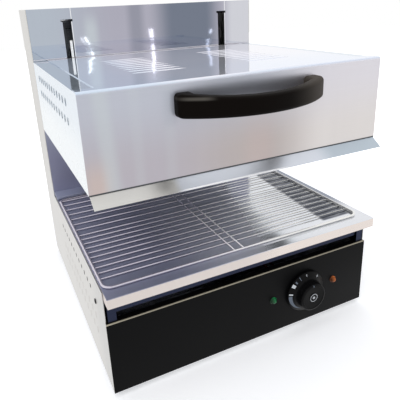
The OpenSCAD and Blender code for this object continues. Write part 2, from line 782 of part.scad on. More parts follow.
module left_lift_arm() color("silver") at_frame() on_side(-1) arm_with_holes();
module right_lift_arm() color("silver") at_frame() arm_with_holes();

module arm_tab_bolts() color("dimgray") at_frame() for (s = [-1, 1], z = tab_bolt_z())
    on_side(s) translate([arm_x + arm_t + 16, 0, z]) {
        bar_y(3, tab_y, head_d);
        bar_y(5, tab_y - 4, tab_y);
    }

module slider_bolts() color("dimgray") at_frame() for (s = [-1, 1], z = slider_bolt_z())
    on_side(s) translate([0, rod_y, z]) {
        bar_x(3, arm_x, block_x + bolt_depth);
        bar_x(5, arm_x - 4, arm_x);
    }

module slider() difference() {
    union() {
        translate([block_x, rod_y - block_l / 2, block_z]) cube([block_w, block_l, block_h]);
        translate([block_x + block_w, rod_y - 8, block_z]) cube([ear_l, 16, ear_t]);
    }
    translate([rod_x, rod_y, 0]) bar_z(bush_r, block_z - 1, block_z + block_h + 1);
    for (z = slider_bolt_z()) translate([0, rod_y, z]) bar_x(3, block_x - 1, block_x + bolt_depth);
}
module left_slider() color("steelblue") at_frame() on_side(-1) slider();
module right_slider() color("steelblue") at_frame() slider();

module slider_bushes() color("peru") at_frame()
    for (s = [-1, 1], z = [block_z, block_z + block_h - bush_h])
        translate([s * rod_x, rod_y, 0]) difference() {
            bar_z(bush_r, z, z + bush_h);
            bar_z(guide_r + running_gap, z - 1, z + bush_h + 1);
        }

// ---- Tray and rack ----------------------------------------------------------

// A flat sheet with all four edges folded down; it lies on the deck and pulls out forward
module drip_tray() color("lightslategray") at_frame() difference() {
    translate([-tray_x, -tray_overhang, deck_top])
        cube([2 * tray_x, tray_back + tray_overhang, tray_edge]);
    translate([-tray_x + tray_t, -tray_overhang + tray_t, deck_top - 1])
        cube([2 * (tray_x - tray_t), tray_back + tray_overhang - 2 * tray_t,
              tray_edge - tray_t + 1]);
}

module cross_wire(y) translate([0, y, rod_z])
    bar_x(wire_r, rack_left - 0.8, rack_right + 0.8);

module wire_rack() color("whitesmoke") at_frame() {
    c = rack_corner;
    x0 = rack_left + rod_r;
    x1 = rack_right - rod_r;
    y0 = rack_y[0] + rod_r;
    y1 = rack_y[1] - rod_r;
    for (y = [y0, y1]) translate([0, y, rod_z]) bar_x(rod_r, x0 + c, x1 - c);
    for (x = [x0, x1]) translate([x, 0, rod_z]) bar_y(rod_r, y0 + c, y1 - c);
    for (p = [[x0 + c, y0 + c, 180], [x1 - c, y0 + c, 270], [x1 - c, y1 - c, 0], [x0 + c, y1 - c, 90]])
        translate([p[0], p[1], rod_z]) rotate([0, 0, p[2]])
            rotate_extrude(angle = 90) translate([c, 0]) circle(rod_r);
    for (i = [0:rack_front_wires - 1]) cross_wire(front_wire_y + i * front_wire_pitch);
    for (i = [1:rack_rear_wires]) cross_wire(front_wire_end + i * rear_wire_pitch);
    for (s = [-1, 1])
        translate([(x0 + x1 + s * long_wire_pitch) / 2 + long_wire_shift, 0, rod_z + wire_r + 0.6])
            bar_y(wire_r, y0 - 1, y1 + 1);
}

// ---- Nodes ------------------------------------------------------------------

base_pan();
left_cheek();
right_cheek();
control_panel();
left_tray_bracket();
right_tray_bracket();
deck_plate();
rear_ledge();
column_panel();
column_cap();
rear_cover();
upper_beam();
lower_beam();
left_guide_rod();
right_guide_rod();
left_spring();
right_spring();
rod_buffers();
front_left_foot();
front_right_foot();
rear_left_foot();
rear_right_foot();
foot_screws();
heat_regulator();
regulator_screws();
green_lamp();
amber_lamp();
lamp_housings();
terminal_block();
cable_gland();
gland_locknut();
cover_screws();
cheek_screws();
control_leads();
knob();
knob_cap();
regulator_shaft();
head_hood();
head_left_side();
head_right_side();
head_back();
head_lip();
reflector();
insulation_blanket();
front_element();
rear_element();
left_element_hanger();
right_element_hanger();
handle();
handle_screws();
left_lift_arm();
right_lift_arm();
arm_tab_bolts();
slider_bolts();
left_slider();
right_slider();
slider_bushes();
drip_tray();
wire_rack();
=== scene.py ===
# %% [markdown]
# # A lift-head cheese melter, in cells
# The imported CAD model is the fixed frame: every piece below is made in metres, in the same
# axes, so nothing has to be fitted by eye. The front of the machine looks towards -Y.
# We first load the frame.

# %% Load the frame
import json

import bmesh
import bpy
from math import asin, cos, pi, radians, sin, tau
from mathutils import Matrix, Vector


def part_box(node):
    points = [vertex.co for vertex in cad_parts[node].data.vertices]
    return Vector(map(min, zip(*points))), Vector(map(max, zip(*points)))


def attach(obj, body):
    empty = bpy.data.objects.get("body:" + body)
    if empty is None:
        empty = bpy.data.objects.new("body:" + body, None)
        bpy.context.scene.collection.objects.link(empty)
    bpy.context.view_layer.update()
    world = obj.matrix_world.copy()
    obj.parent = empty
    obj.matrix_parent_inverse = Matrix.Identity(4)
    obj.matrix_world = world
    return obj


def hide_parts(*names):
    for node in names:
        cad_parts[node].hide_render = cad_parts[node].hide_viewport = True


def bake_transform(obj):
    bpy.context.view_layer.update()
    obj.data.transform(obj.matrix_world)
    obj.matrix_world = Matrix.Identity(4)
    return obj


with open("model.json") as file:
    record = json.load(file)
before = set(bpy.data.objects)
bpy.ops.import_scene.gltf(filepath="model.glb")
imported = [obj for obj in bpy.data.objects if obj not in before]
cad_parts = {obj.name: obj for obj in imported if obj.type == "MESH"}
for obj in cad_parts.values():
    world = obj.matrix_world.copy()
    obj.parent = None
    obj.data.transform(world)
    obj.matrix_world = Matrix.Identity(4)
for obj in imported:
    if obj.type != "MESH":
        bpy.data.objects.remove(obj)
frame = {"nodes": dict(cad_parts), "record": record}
NODES = frame["nodes"]
BODY_OF = {node: body for body, nodes in frame["record"]["behaviour"]["bodies"].items()
           for node in nodes}
SLOT_OF = {part["node"]: part["material_slot"] for part in frame["record"]["subparts"]}
scene = bpy.context.scene
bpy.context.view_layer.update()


def placed(name, data):
    """A new object in the scene: a camera, a lamp or a piece."""
    thing = bpy.data.objects.new(name, data)
    scene.collection.objects.link(thing)
    return thing


# %% [markdown]
# ## The camera
# The photograph was taken from above and to the left, with the machine turned about 25 degrees.
# The lens was found by matching the edges of the body. We build the camera's own axes from its
# heading, tilt and roll, because that is exact and needs no tracking constraint.

# %% Camera at the photograph's viewing angle
MM = 0.001
heading, tilt, roll = radians(24.974), radians(-19.289), radians(-2.573)
forward = Vector((sin(heading) * cos(tilt), cos(heading) * cos(tilt), sin(tilt)))
level_right = Vector((cos(heading), -sin(heading), 0))
level_up = level_right.cross(forward)
right = cos(roll) * level_right + sin(roll) * level_up
up = cos(roll) * level_up - sin(roll) * level_right
camera_place = Vector((-0.31616, -0.71603, 0.52047))

camera = placed("camera", bpy.data.cameras.new("camera"))
camera.matrix_world = (Matrix.Translation(camera_place)
                       @ Matrix((right, up, -forward)).transposed().to_4x4())
camera.data.sensor_width = 36
camera.data.lens = 40.80
camera.data.shift_x, camera.data.shift_y = 0.0089, -0.0982
camera.data.clip_start = 0.01
scene.camera = camera
print("camera at", tuple(round(v, 3) for v in camera.location))

# %% [markdown]
# ## Node trees as plain sums
# A material is a graph of nodes, which is slow to read. One small class wraps a socket, so that
# `1 - mask` or `grain * 0.2` adds the Math nodes for us. `Graph` owns a tree, and its `node`
# method makes any other node. Colours go through Mix, because a Math node turns them grey.

# %% The class that wraps a number in a node tree
class Amount:
    def __init__(self, graph, socket):
        self.graph, self.socket = graph, socket

    def _sum(self, operation, first, second=None):
        sockets = {0: first} if second is None else {0: first, 1: second}
        return self.graph.node("ShaderNodeMath", {"operation": operation}, sockets)

    def __add__(self, other): return self._sum("ADD", self, other)
    def __radd__(self, other): return self._sum("ADD", other, self)
    def __sub__(self, other): return self._sum("SUBTRACT", self, other)
    def __rsub__(self, other): return self._sum("SUBTRACT", other, self)
    def __mul__(self, other): return self._sum("MULTIPLY", self, other)
    def __rmul__(self, other): return self._sum("MULTIPLY", other, self)
    def __abs__(self): return self._sum("ABSOLUTE", self)
    def most(self, other): return self._sum("MAXIMUM", self, other)

    def rise(self, low, high):
        """0 below low, 1 above high, and a soft step between them."""
        return self.graph.node("ShaderNodeMapRange", {"interpolation_type": "SMOOTHSTEP"},
                               {"Value": self, "From Min": low, "From Max": high})

    def fall(self, low, high):
        """1 below low, 0 above high, and a soft step between them."""
        return 1 - self.rise(low, high)

    def band(self, centre, half, soft):
        """1 within half of centre, fading to 0 over soft on both sides."""
        return abs(self - centre).fall(half, half + soft)


# %% The class that owns a node tree
class Graph:
    def __init__(self, tree):
        self.tree = tree

    def put(self, socket, value):
        if isinstance(value, Amount):
            value = value.socket
        if isinstance(value, bpy.types.NodeSocket):
            self.tree.links.new(value, socket)
        elif socket.type == "RGBA":
            socket.default_value = (*value[:3], 1)
        else:
            socket.default_value = value

    def node(self, kind, settings=None, sockets=None, out=0):
        node = self.tree.nodes.new(kind)
        for name, value in (settings or {}).items():
            setattr(node, name, value)
        for key, value in (sockets or {}).items():
            self.put(node.inputs[key], value)
        return Amount(self, node.outputs[out])

    def scaled(self, vector, amount):
        """A colour or a vector times a number."""
        return self.node("ShaderNodeVectorMath", {"operation": "SCALE"}, {0: vector, 3: amount})


# %% The class that owns one material
class Finish(Graph):
    def __init__(self, name, **constants):
        self.name, self.material = name, bpy.data.materials.new(name)
        self.material.use_nodes = True
        super().__init__(self.material.node_tree)
        self.shader = self.tree.nodes["Principled BSDF"]
        self.wear(**constants)
        self.place = self.tree.nodes.new("ShaderNodeTexCoord").outputs["Object"]
        axes = self.tree.nodes.new("ShaderNodeSeparateXYZ")
        self.put(axes.inputs[0], self.place)
        self.x, self.y, self.z = (Amount(self, axis) for axis in axes.outputs)

    def wear(self, **sockets):
        for socket, value in sockets.items():
            self.put(self.shader.inputs[socket.replace("_", " ")], value)
        return self

    def noise(self, scale, detail=2, rough=0.5):
        """Noise at one scale, or at three scales along X, Y and Z."""
        scale = scale if isinstance(scale, tuple) else (scale,) * 3
        where = self.node("ShaderNodeMapping", None, {"Vector": self.place, "Scale": scale})
        return self.node("ShaderNodeTexNoise", None,
                         {"Vector": where, "Scale": 1, "Detail": detail, "Roughness": rough})

    def mix(self, first, second, share):
        return self.node("ShaderNodeMix", {"data_type": "RGBA"}, {0: share, 6: first, 7: second},
                         out=2)

    def layers(self, colour, *coats):
        """The colour, with each (colour, share) coat laid over what is there."""
        for coat, share in coats:
            colour = self.mix(colour, coat, share)
        return colour

    def bump(self, height, distance):
        self.wear(Normal=self.node("ShaderNodeBump", None,
                                   {"Height": height, "Distance": distance, "Strength": 1.0}))


def rgb(*levels):
    """The shader's linear colour for a colour read as 0 to 255."""
    return tuple(((c / 255 + 0.055) / 1.055) ** 2.4 if c > 10 else c / 255 / 12.92
                 for c in levels)


print("helpers for materials are ready")

# %% [markdown]
# ## Stainless sheet
# Brushed stainless has fine scratches along the rolling direction. Noise stretched far along one
# axis makes them, and it moves the roughness and a very small bump. A slower noise stands for
# hand marks and the slight waves of thin sheet, which bend what the sheet mirrors.

# %% A finish for brushed or polished sheet
SCRATCH_ACROSS, SCRATCH_ALONG, GRAIN = 1100, 9, 0.05


def steel(name, paint, along="X", rough=0.2, spread=0.1, wave=0.00004, wave_scale=7,
          marks=0.06, smear=0.03, bright=1.0):
    """paint, rough and bright may be functions of the finish; bright below 1 is a soft haze."""
    finish = Finish(name)
    paint, rough, bright = (value(finish) if callable(value) else value
                            for value in (paint, rough, bright))
    scratch = finish.noise(tuple(SCRATCH_ALONG if axis == along else SCRATCH_ACROSS
                                 for axis in "XYZ"), detail=3, rough=0.7)
    cloud = finish.noise(11, detail=3)
    hand = finish.noise(38).rise(0.55, 0.75)
    level = (1 - GRAIN * 0.5) + scratch * GRAIN + (cloud - 0.5) * marks
    finish.wear(Base_Color=finish.scaled(paint, level), Metallic=bright,
                Roughness=rough + (scratch - 0.5) * spread + hand * smear)
    finish.bump(finish.noise(wave_scale, detail=1) + scratch * 0.002, wave * 100)
    return finish


# %% [markdown]
# ## Painted reflections on the sheets
# Each large sheet of the real machine goes from bluish to warm grey, because polished steel
# takes on whatever stands around it. We paint those reflections into the sheet's own colour, in
# Object coordinates, so that they stay in place from every side.

# %% Painted reflections on the head
TOP_FOLD = 0.4292, 0.4318                # heights between which the front turns into the top


def front_colours(finish):
    # painted reflections: the front's tones, streaks and warm patch are what it mirrors
    x, z = finish.x, finish.z
    low = finish.layers(rgb(187, 182, 190),
                        (rgb(188, 179, 177), x.rise(-0.14, 0.0)),
                        (rgb(224, 219, 217), x.rise(0.02, 0.13)),
                        (rgb(203, 188, 184), x.band(-0.212, 0.005, 0.02) * z.fall(0.32, 0.37)))
    high = finish.mix(rgb(192, 195, 206), rgb(222, 219, 225), x.rise(-0.02, 0.16))
    reflected_streaks = ((x + (z - 0.43) * 0.05).band(-0.200, 0.002, 0.014) * 0.5
              + x.band(-0.160, 0.001, 0.010) * 0.18 + x.band(-0.118, 0.001, 0.012) * 0.15)
    warm = x.band(0.012, 0.006, 0.03) * 0.3 * z.fall(0.33, 0.40)
    painted_reflection = finish.layers(low, (high, z.rise(0.33, 0.42)), (rgb(202, 209, 212), reflected_streaks),
                          (rgb(205, 184, 180), warm))
    painted_reflection = finish.scaled(painted_reflection, 0.96 + finish.noise((30, 30, 1.5), detail=3) * 0.08)
    # painted shade: the lowest edge of the front, where it folds under above the lip, is dark
    return finish.mix(rgb(84, 87, 90), painted_reflection, z.rise(0.3105, 0.3111))


# painted highlight: a light line along the rear edge of the head's top
def rear_edge_highlight(finish):
    return finish.y.rise(0.1408, 0.1416) * finish.z.rise(0.425, 0.427)


def hood_colours(finish):
    x, y, z = finish.x, finish.y, finish.z
    # painted reflections on the top, and a painted highlight along the fold at the front
    top = finish.layers(rgb(214, 226, 243), (rgb(240, 239, 247), x.rise(-0.16, -0.06)),
                        (rgb(214, 228, 248), x.rise(-0.1, 0.05) * y.fall(-0.19, -0.02) * 0.5))
    fold_highlight = finish.mix(rgb(212, 226, 240), rgb(190, 197, 214), x.rise(0.0, 0.12))
    return finish.layers(front_colours(finish), (top, z.rise(*TOP_FOLD)),
                         (fold_highlight, z.rise(0.4308, 0.4316) * y.fall(-0.2165, -0.2155)),
                         (rgb(250, 247, 250), rear_edge_highlight(finish)))


def worn_patch(finish):
    """Where hands have dulled the front beside the handle's left end."""
    return finish.x.band(-0.1165, 0.0045, 0.008) * finish.z.band(0.402, 0.018, 0.010)


def side_flange(finish):
    """1 on the polished top edge of a head side, 0 on its upright face."""
    return finish.z.rise(0.4300, 0.4304) * abs(finish.x).fall(0.2240, 0.2246)


def side_colours(finish):
    # painted reflection: the side is near white, bluer towards the top, and its top edge bluish
    # grey
    return finish.layers(rgb(247, 252, 255), (rgb(232, 240, 248), finish.z.rise(0.34, 0.41)),
                         (rgb(206, 217, 230), side_flange(finish)))


def lip_hem_highlight(finish):
    """The lowest edge of the lip, painted as a highlight over the middle of the width."""
    return finish.z.fall(0.2982, 0.2989) * finish.x.rise(-0.12, -0.10) * finish.x.fall(0.03, 0.06)


def lip_colours(finish):
    # painted reflections across the width, and the painted highlight of the hem
    return finish.layers(rgb(218, 217, 213), (rgb(218, 223, 232), finish.x.rise(-0.122, -0.108)),
                         (rgb(186, 197, 207), finish.x.rise(0.1, 0.14)),
                         (rgb(252, 252, 253), lip_hem_highlight(finish)))


# %% Painted reflections on the column, the tray and the cheeks
# painted highlights: the light right-hand rims of the two lift slots
SLOT_RIM_HIGHLIGHTS = -0.1484, 0.1656              # the bright right-hand rims of the two lift slots
# the tray's dark right patch is a painted reflection
DARK_REFLECTION_X, DARK_REFLECTION_SLANT = 0.1435, 0.085         # left border of the tray's dark right patch


def gap_highlight_line(finish):
    """A thin painted highlight on the column, just above where the head's rear edge mostly stands.
    """
    return finish.z.band(0.4341, 0.0005, 0.0006)


def column_colours(finish):
    x, z = finish.x, finish.z
    # painted light: rim is the painted highlight on the slot rims; the layers below are painted
    # reflections, and the darker lower part is painted shade under the head
    rim = x.band(SLOT_RIM_HIGHLIGHTS[0], 0.0004, 0.0003) + x.band(SLOT_RIM_HIGHLIGHTS[1], 0.0004, 0.0003)
    base = finish.layers(
        rgb(178, 186, 197), (rgb(172, 171, 184), x.rise(-0.20, -0.06)),
        (rgb(116, 123, 138), x.rise(-0.005, 0.05) * x.fall(0.12, 0.165)),
        (rgb(207, 208, 215), x.rise(0.155, 0.185)),
        (rgb(120, 124, 138), x.band(-0.028, 0.004, 0.02) * 0.5),
        (rgb(214, 226, 226), x.band(-0.115, 0.002, 0.018) * z.band(0.46, 0.02, 0.04) * 0.35),
        (rgb(252, 252, 253), rim * z.rise(0.30, 0.31) * 0.9),
        (rgb(226, 224, 232), gap_highlight_line(finish)))
    return finish.mix(rgb(156, 157, 182), base, z.rise(0.24, 0.38))


def tray_light(finish):
    """0 on the tray's dim left part, 1 on its bright right part, both painted reflections; the
    border runs aslant.
    """
    return (finish.x - (finish.y + 0.2) * 0.27).rise(-0.02, 0.06)


def tray_colours(finish):
    x, y, z = finish.x, finish.y, finish.z
    # painted reflection: a dark patch on the right of the tray
    dark_reflection = (x - (y + 0.2) * DARK_REFLECTION_SLANT).rise(DARK_REFLECTION_X, DARK_REFLECTION_X + 0.008) * x.fall(0.199, 0.203)
    dark_reflection = dark_reflection * y.rise(-0.203, -0.198)
    patchy = finish.noise((40, 120, 1)).rise(0.30, 0.55)
    # painted reflections: dim left, bright right, the dark patch, a dark band along the right edge,
    # and the warm tone of the front flange
    base = finish.layers(
        rgb(148, 151, 174), (rgb(198, 200, 214), x.rise(-0.14, -0.02)),
        (rgb(226, 228, 233), tray_light(finish)),
        (rgb(70, 75, 88), dark_reflection * (0.76 + patchy * 0.20)),
        (rgb(116, 124, 142), x.rise(0.2068, 0.2078) * y.rise(-0.19, -0.13) * 0.85))
    return finish.mix(rgb(232, 222, 216), base, z.rise(0.1735, 0.1745))


def cheek_colours(finish):
    # painted reflection tones: darker over the front end and on the upper part
    return finish.layers(rgb(204, 203, 201), (rgb(216, 214, 211), finish.y.rise(-0.21, -0.13)),
                         (rgb(212, 210, 206), finish.z.rise(0.13, 0.30)))


# %% Finishes of the sheet parts
STEEL = {name: steel(name, **how) for name, how in {
    "plain_steel": dict(paint=rgb(205, 207, 210), rough=0.28),
    "cheek_steel": dict(paint=cheek_colours, along="Y", rough=0.30, marks=0.04),
    "side_steel": dict(paint=side_colours, along="Y", spread=0.05, marks=0.02, wave=0.00001,
                       rough=lambda finish: 0.26 - side_flange(finish) * 0.19,
                       bright=lambda finish: 1 - side_flange(finish) * 0.28),
    "hood_steel": dict(paint=hood_colours, spread=0.03, marks=0.03, wave=0.00001, smear=0.01,
                       rough=lambda finish: 0.29 - finish.z.rise(0.4290, 0.4318) * 0.24,
                       bright=lambda finish: (1 - rear_edge_highlight(finish)) * (
                           0.88 - finish.z.rise(*TOP_FOLD) * 0.26 - worn_patch(finish) * 0.55)),
    "lip_steel": dict(paint=lip_colours, rough=0.30, bright=lambda finish: 1 - lip_hem_highlight(finish)),
    "column_steel": dict(paint=column_colours, along="Z", spread=0.02, marks=0.04,
                         wave=0.0000015, smear=0.0,
                         rough=lambda finish: 0.42 - finish.z.rise(0.26, 0.42) * 0.38,
                         bright=lambda finish: (1 - gap_highlight_line(finish) * 0.9) * (
                             0.65 + finish.z.rise(0.30, 0.42) * 0.35)),
    "tray_steel": dict(paint=tray_colours, spread=0.05, wave=0.00003, wave_scale=9,
                       rough=lambda finish: 0.44 - tray_light(finish) * 0.28,
                       bright=lambda finish: 0.50 + tray_light(finish) * 0.50),
    # painted shade: the bracket finish is dark blue grey, as shade under the tray
    "bracket_steel": dict(paint=rgb(46, 51, 70), along="Z", rough=0.30),
    # painted light and shade: the left arm near white, the right arm dark as in shade
    "arm_steel": dict(paint=lambda finish: finish.mix(
        rgb(244, 244, 242), rgb(34, 35, 38), finish.x.rise(-0.01, 0.01)), along="Z", rough=0.25),
    # painted reflection: the ledge's bluish tone
    "ledge_steel": dict(paint=rgb(196, 201, 222), rough=0.36, spread=0.05, bright=0.6),
}.items()}
print("sheet finishes:", sorted(STEEL))

# %% [markdown]
# ## Paint, plastic, rubber and the rest
# These are not sheet, so each gets the texture of its process: orange peel on powder coat, fine
# sparks on a mould's eroded face, and loose fibres on mineral wool.

# %% Moulded and cast surfaces
def moulded(name, colour, rough, pitch=1400, depth=0.00003, gloss=0.35):
    finish = Finish(name, Specular_IOR_Level=gloss)
    skin = finish.noise(pitch, rough=0.6)
    slow = finish.noise(16, detail=3) - 0.5
    finish.wear(Base_Color=finish.scaled(colour, 1 + slow * 0.2),
                Roughness=rough + slow * 0.12 + (skin - 0.5) * 0.06)
    finish.bump(skin, depth)
    return finish


def metal(name, colour, rough, pitch=500, spread=0.15, cloud=0.1):
    finish = Finish(name, Metallic=1.0)
    skin = finish.noise(pitch, detail=3)
    slow = finish.noise(25, detail=3) - 0.5
    finish.wear(Base_Color=finish.scaled(colour, 1 + slow * (cloud * 2)),
                Roughness=rough + (skin - 0.5) * spread)
    finish.bump(skin, 0.00002)
    return finish


# %% Finishes with a pattern of their own
def panel_paint():
    finish = moulded("black_paint", rgb(16, 16, 17), 0.42, pitch=900, gloss=0.07)
    x, y, z = finish.x, finish.y, finish.z
    # painted reflection: the black is lighter towards the right and the bottom
    return finish.wear(Base_Color=finish.layers(
        rgb(12, 12, 13), (rgb(26, 26, 27), x.rise(0.0, 0.22) * z.fall(0.03, 0.12)),
        (rgb(190, 181, 160), z.rise(0.1236, 0.1240) * y.fall(-0.2155, -0.2148))))


def handle_plastic():
    finish = moulded("handle_plastic", rgb(13, 9, 7), 0.50, gloss=0.05, depth=0.00004)
    # painted highlight: polished marks a light band on the top front edge near the left end; the
    # lighter right end is a painted reflection
    polished = finish.z.band(0.4132, 0.0004, 0.0026) * finish.x.band(-0.092, 0.006, 0.018)
    return finish.wear(Base_Color=finish.layers(
        rgb(10, 6, 4), (rgb(72, 66, 60), finish.x.rise(0.02, 0.11)),
        (rgb(92, 88, 82), polished * 0.7)))


def rack_chrome():
    finish = metal("rack_chrome", rgb(226, 224, 224), 0.14, pitch=300, spread=0.08)
    # painted reflection: pinkish grey on the left, whiter on the right
    painted_reflection = finish.mix(rgb(212, 206, 218), rgb(248, 247, 244), finish.x.rise(-0.16, 0.10))
    return finish.wear(Base_Color=painted_reflection, Metallic=0.70)


def wool():
    finish = Finish("insulation", Roughness=0.95, Specular_IOR_Level=0.1)
    fibre = finish.noise((260, 60, 260), detail=4, rough=0.7)
    finish.wear(Base_Color=finish.mix(rgb(168, 160, 128), rgb(226, 220, 196), fibre))
    finish.bump(fibre, 0.0015)
    return finish


def sleeve():
    finish = Finish("lead_sleeve", Roughness=0.7)
    weave = finish.node("ShaderNodeTexWave", {"bands_direction": "DIAGONAL"},
                        {"Vector": finish.place, "Scale": 260, "Distortion": 1.5})
    finish.wear(Base_Color=finish.mix(rgb(92, 40, 28), rgb(142, 70, 48), weave))
    finish.bump(weave, 0.0002)
    return finish


# %% All finishes by name
FINISH = {finish.name: finish.material for finish in (
    *STEEL.values(), panel_paint(), handle_plastic(), rack_chrome(), wool(), sleeve(),
    moulded("black_plastic", rgb(9, 9, 10), 0.36, gloss=0.09),
    moulded("white_plastic", rgb(224, 218, 204), 0.5),
    moulded("rubber", rgb(34, 34, 35), 0.75, pitch=700, gloss=0.25),
    metal("screw_steel", rgb(208, 208, 206), 0.25),
    metal("dark_screw", rgb(46, 46, 48), 0.38),
    metal("ground_rod", rgb(222, 222, 226), 0.10, spread=0.04),
    metal("spring_wire", rgb(150, 150, 152), 0.3),
    metal("brass", rgb(206, 170, 98), 0.25),
    metal("cast_aluminium", rgb(188, 190, 194), 0.38, pitch=260),
    metal("element_sheath", rgb(96, 92, 88), 0.45, pitch=200, cloud=0.35))}
print("all finishes:", len(FINISH))

# %% [markdown]
# ## Pieces and how they join the frame
# A finished piece has its object at the origin and its place in its mesh. `settle` gives it a
# finish, tells the frame which body it rides on, and which CAD nodes it stands for.

# %% Joining a piece to the frame
def settle(piece, finish, *nodes, slot=None, body=None):
    piece.data.materials.clear()
    piece.data.materials.append(FINISH[finish])
    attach(piece, body or BODY_OF[nodes[0]])
    if nodes:
        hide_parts(*nodes)
    return piece


def smoothed(mesh, which=lambda face: True):
    """The mesh, with those faces shaded smooth and all others flat."""
    for face in mesh.polygons:
        face.use_smooth = which(face)
    return mesh


def mesh_of(shape, name):
    mesh = bpy.data.meshes.new(name)
    shape.to_mesh(mesh)
    shape.free()
    return mesh


def evaluated(piece):
    """A plain mesh of a piece with its modifiers carried out."""
    bpy.context.view_layer.update()
    return bpy.data.meshes.new_from_object(
        piece.evaluated_get(bpy.context.evaluated_depsgraph_get()))


def piece_from(shape, name, sharp=None):
    """An object from a bmesh, smooth up to the angle sharp, with its faces pointing outwards."""
    bmesh.ops.remove_doubles(shape, verts=shape.verts, dist=1e-6)
    bmesh.ops.recalc_face_normals(shape, faces=shape.faces)
    mesh = smoothed(mesh_of(shape, name), lambda face: sharp is not None)
    if sharp is not None:
        mesh.set_sharp_from_angle(angle=radians(sharp))
    return placed(name, mesh)


# %% [markdown]
# ## Folded sheet with soft edges
# Sheet metal is never razor sharp: a sheared edge and a fold both catch a thin line of light. We
# copy each visible sheet from the frame, merge its loose triangles, join its flat faces, and cut
# a small bevel along every sharp edge.

# %% Soft-edged copies of the sheet parts
SHARP = radians(40)


def softened(node, width, finish=None):
    shape = bmesh.new()
    shape.from_mesh(NODES[node].data)
    bmesh.ops.remove_doubles(shape, verts=shape.verts, dist=2e-6)
    bmesh.ops.dissolve_limit(shape, angle_limit=radians(0.6), verts=shape.verts,
                             edges=shape.edges)
    sharp = [e for e in shape.edges if len(e.link_faces) == 2 and e.calc_face_angle() > SHARP]
    bmesh.ops.bevel(shape, geom=sharp, offset=width, segments=2, profile=0.6,
                    affect="EDGES", clamp_overlap=False)
    piece = piece_from(shape, node + "_sheet")
    settle(piece, finish or SLOT_OF[node], node, slot=SLOT_OF[node])
    print(f"{piece.name}: {len(piece.data.polygons)} faces")


for node, width in {"left_cheek": 0.30, "right_cheek": 0.30, "control_panel": 0.35,
                    "left_tray_bracket": 0.25, "right_tray_bracket": 0.25, "deck_plate": 0.25,
                    "column_panel": 0.25, "column_cap": 0.30, "rear_cover": 0.30,
                    "drip_tray": 0.30, "head_hood": 0.30, "head_left_side": 0.30,
                    "head_right_side": 0.30, "head_back": 0.25, "head_lip": 0.18,
                    "left_lift_arm": 0.4, "right_lift_arm": 0.4}.items():
    softened(node, width * MM)
softened("rear_ledge", 0.3 * MM, "ledge_steel")

# %% [markdown]
# ## Repeats by Geometry Nodes
# Louvres, screws and wires repeat in straight rows. One node tree places a shape along a line,
# and that line along a second one. Its sizes are named inputs. The tree ends in Realize
# Instances and Set Material, and the result is then kept as a plain mesh.

# %% A small helper that writes geometry trees
class Layout(Graph):
    def __init__(self, name, **inputs):
        super().__init__(bpy.data.node_groups.new(name, "GeometryNodeTree"))
        for label, kind, way in (("Geometry", "Geometry", "INPUT"),
                                 *((label, kind, "INPUT") for label, kind in inputs.items()),
                                 ("Geometry", "Geometry", "OUTPUT")):
            self.tree.interface.new_socket(label.replace("_", " "), in_out=way,
                                           socket_type="NodeSocket" + kind)
        self.given = {socket.name: Amount(self, socket)
                      for socket in self.tree.nodes.new("NodeGroupInput").outputs if socket.name}
        self.result = self.tree.nodes.new("NodeGroupOutput").inputs[0]

    def line(self, start, step, count):
        return self.node("GeometryNodeMeshLine", {"mode": "OFFSET"},
                         {"Count": count, "Start Location": start, "Offset": step})

    def copies(self, points, shape):
        return self.node("GeometryNodeInstanceOnPoints", None,
                         {"Points": points, "Instance": shape})

    def moved(self, geometry, **how):
        return self.node("GeometryNodeTransform", None, {"Geometry": geometry, **how})

    def swept(self, curve, radius, sides, caps=False):
        ring = self.node("GeometryNodeCurvePrimitiveCircle", None,
                         {"Resolution": sides, "Radius": radius})
        return self.node("GeometryNodeCurveToMesh", None,
                         {"Curve": curve, "Profile Curve": ring, "Fill Caps": caps})

    def end(self, *parts):
        joined = self.tree.nodes.new("GeometryNodeJoinGeometry")
        for part in reversed(parts):
            self.put(joined.inputs[0], part)
        real = self.node("GeometryNodeRealizeInstances", None, {0: joined.outputs[0]})
        self.put(self.result, self.node("GeometryNodeSetMaterial", None,
                                        {"Geometry": real, "Material": self.given["Material"]}))


def grown(layout, name, start_mesh=None, **values):
    """The mesh that a layout makes, as a new plain object at the origin."""
    piece = placed(name, start_mesh or bpy.data.meshes.new(name))
    modifier = piece.modifiers.new("layout", "NODES")
    modifier.node_group = layout.tree
    sockets = {s.name: s.identifier for s in layout.tree.interface.items_tree
               if s.in_out == "INPUT"}
    for label, value in values.items():
        modifier[sockets[label.replace("_", " ")]] = value
    mesh = evaluated(piece)
    mesh.name = name
    piece.modifiers.clear()
    piece.data = mesh
    print(f"{name}: {len(mesh.polygons)} faces")
    return piece


# %% The layout of rows
rows = Layout("rows", Count="Int", Step="Vector", Rows="Int", Row_Step="Vector",
              Start="Vector", Material="Material")
given = rows.given
first_row = rows.line(given["Start"], given["Step"], given["Count"])
row_starts = rows.line((0, 0, 0), given["Row Step"], given["Rows"])
points = rows.node("GeometryNodeRealizeInstances", None, {0: rows.copies(row_starts, first_row)})
rows.end(rows.copies(points, given["Geometry"]))
print("row layout:", len(rows.tree.nodes), "nodes")


def in_rows(name, shape, finish, *nodes, start, slot=None, body=None,
            count=1, step=(0, 0, 0), row_count=1, row_step=(0, 0, 0)):
    """Copies of a shape along step, and that row along row_step, settled on their body."""
    piece = grown(rows, name, shape, Start=start, Count=count, Step=step, Rows=row_count,
                  Row_Step=row_step, Material=FINISH[finish])
    settle(piece, finish, *nodes, slot=slot, body=body)


# %% [markdown]
# ## Pressed louvres
# Every vent is a slit whose one edge was pushed outwards by the press. The raised edge catches
# the light, and it keeps drips out. The shape is a small arched shell: shut at one long edge and
# at both ends, and open along the other edge.

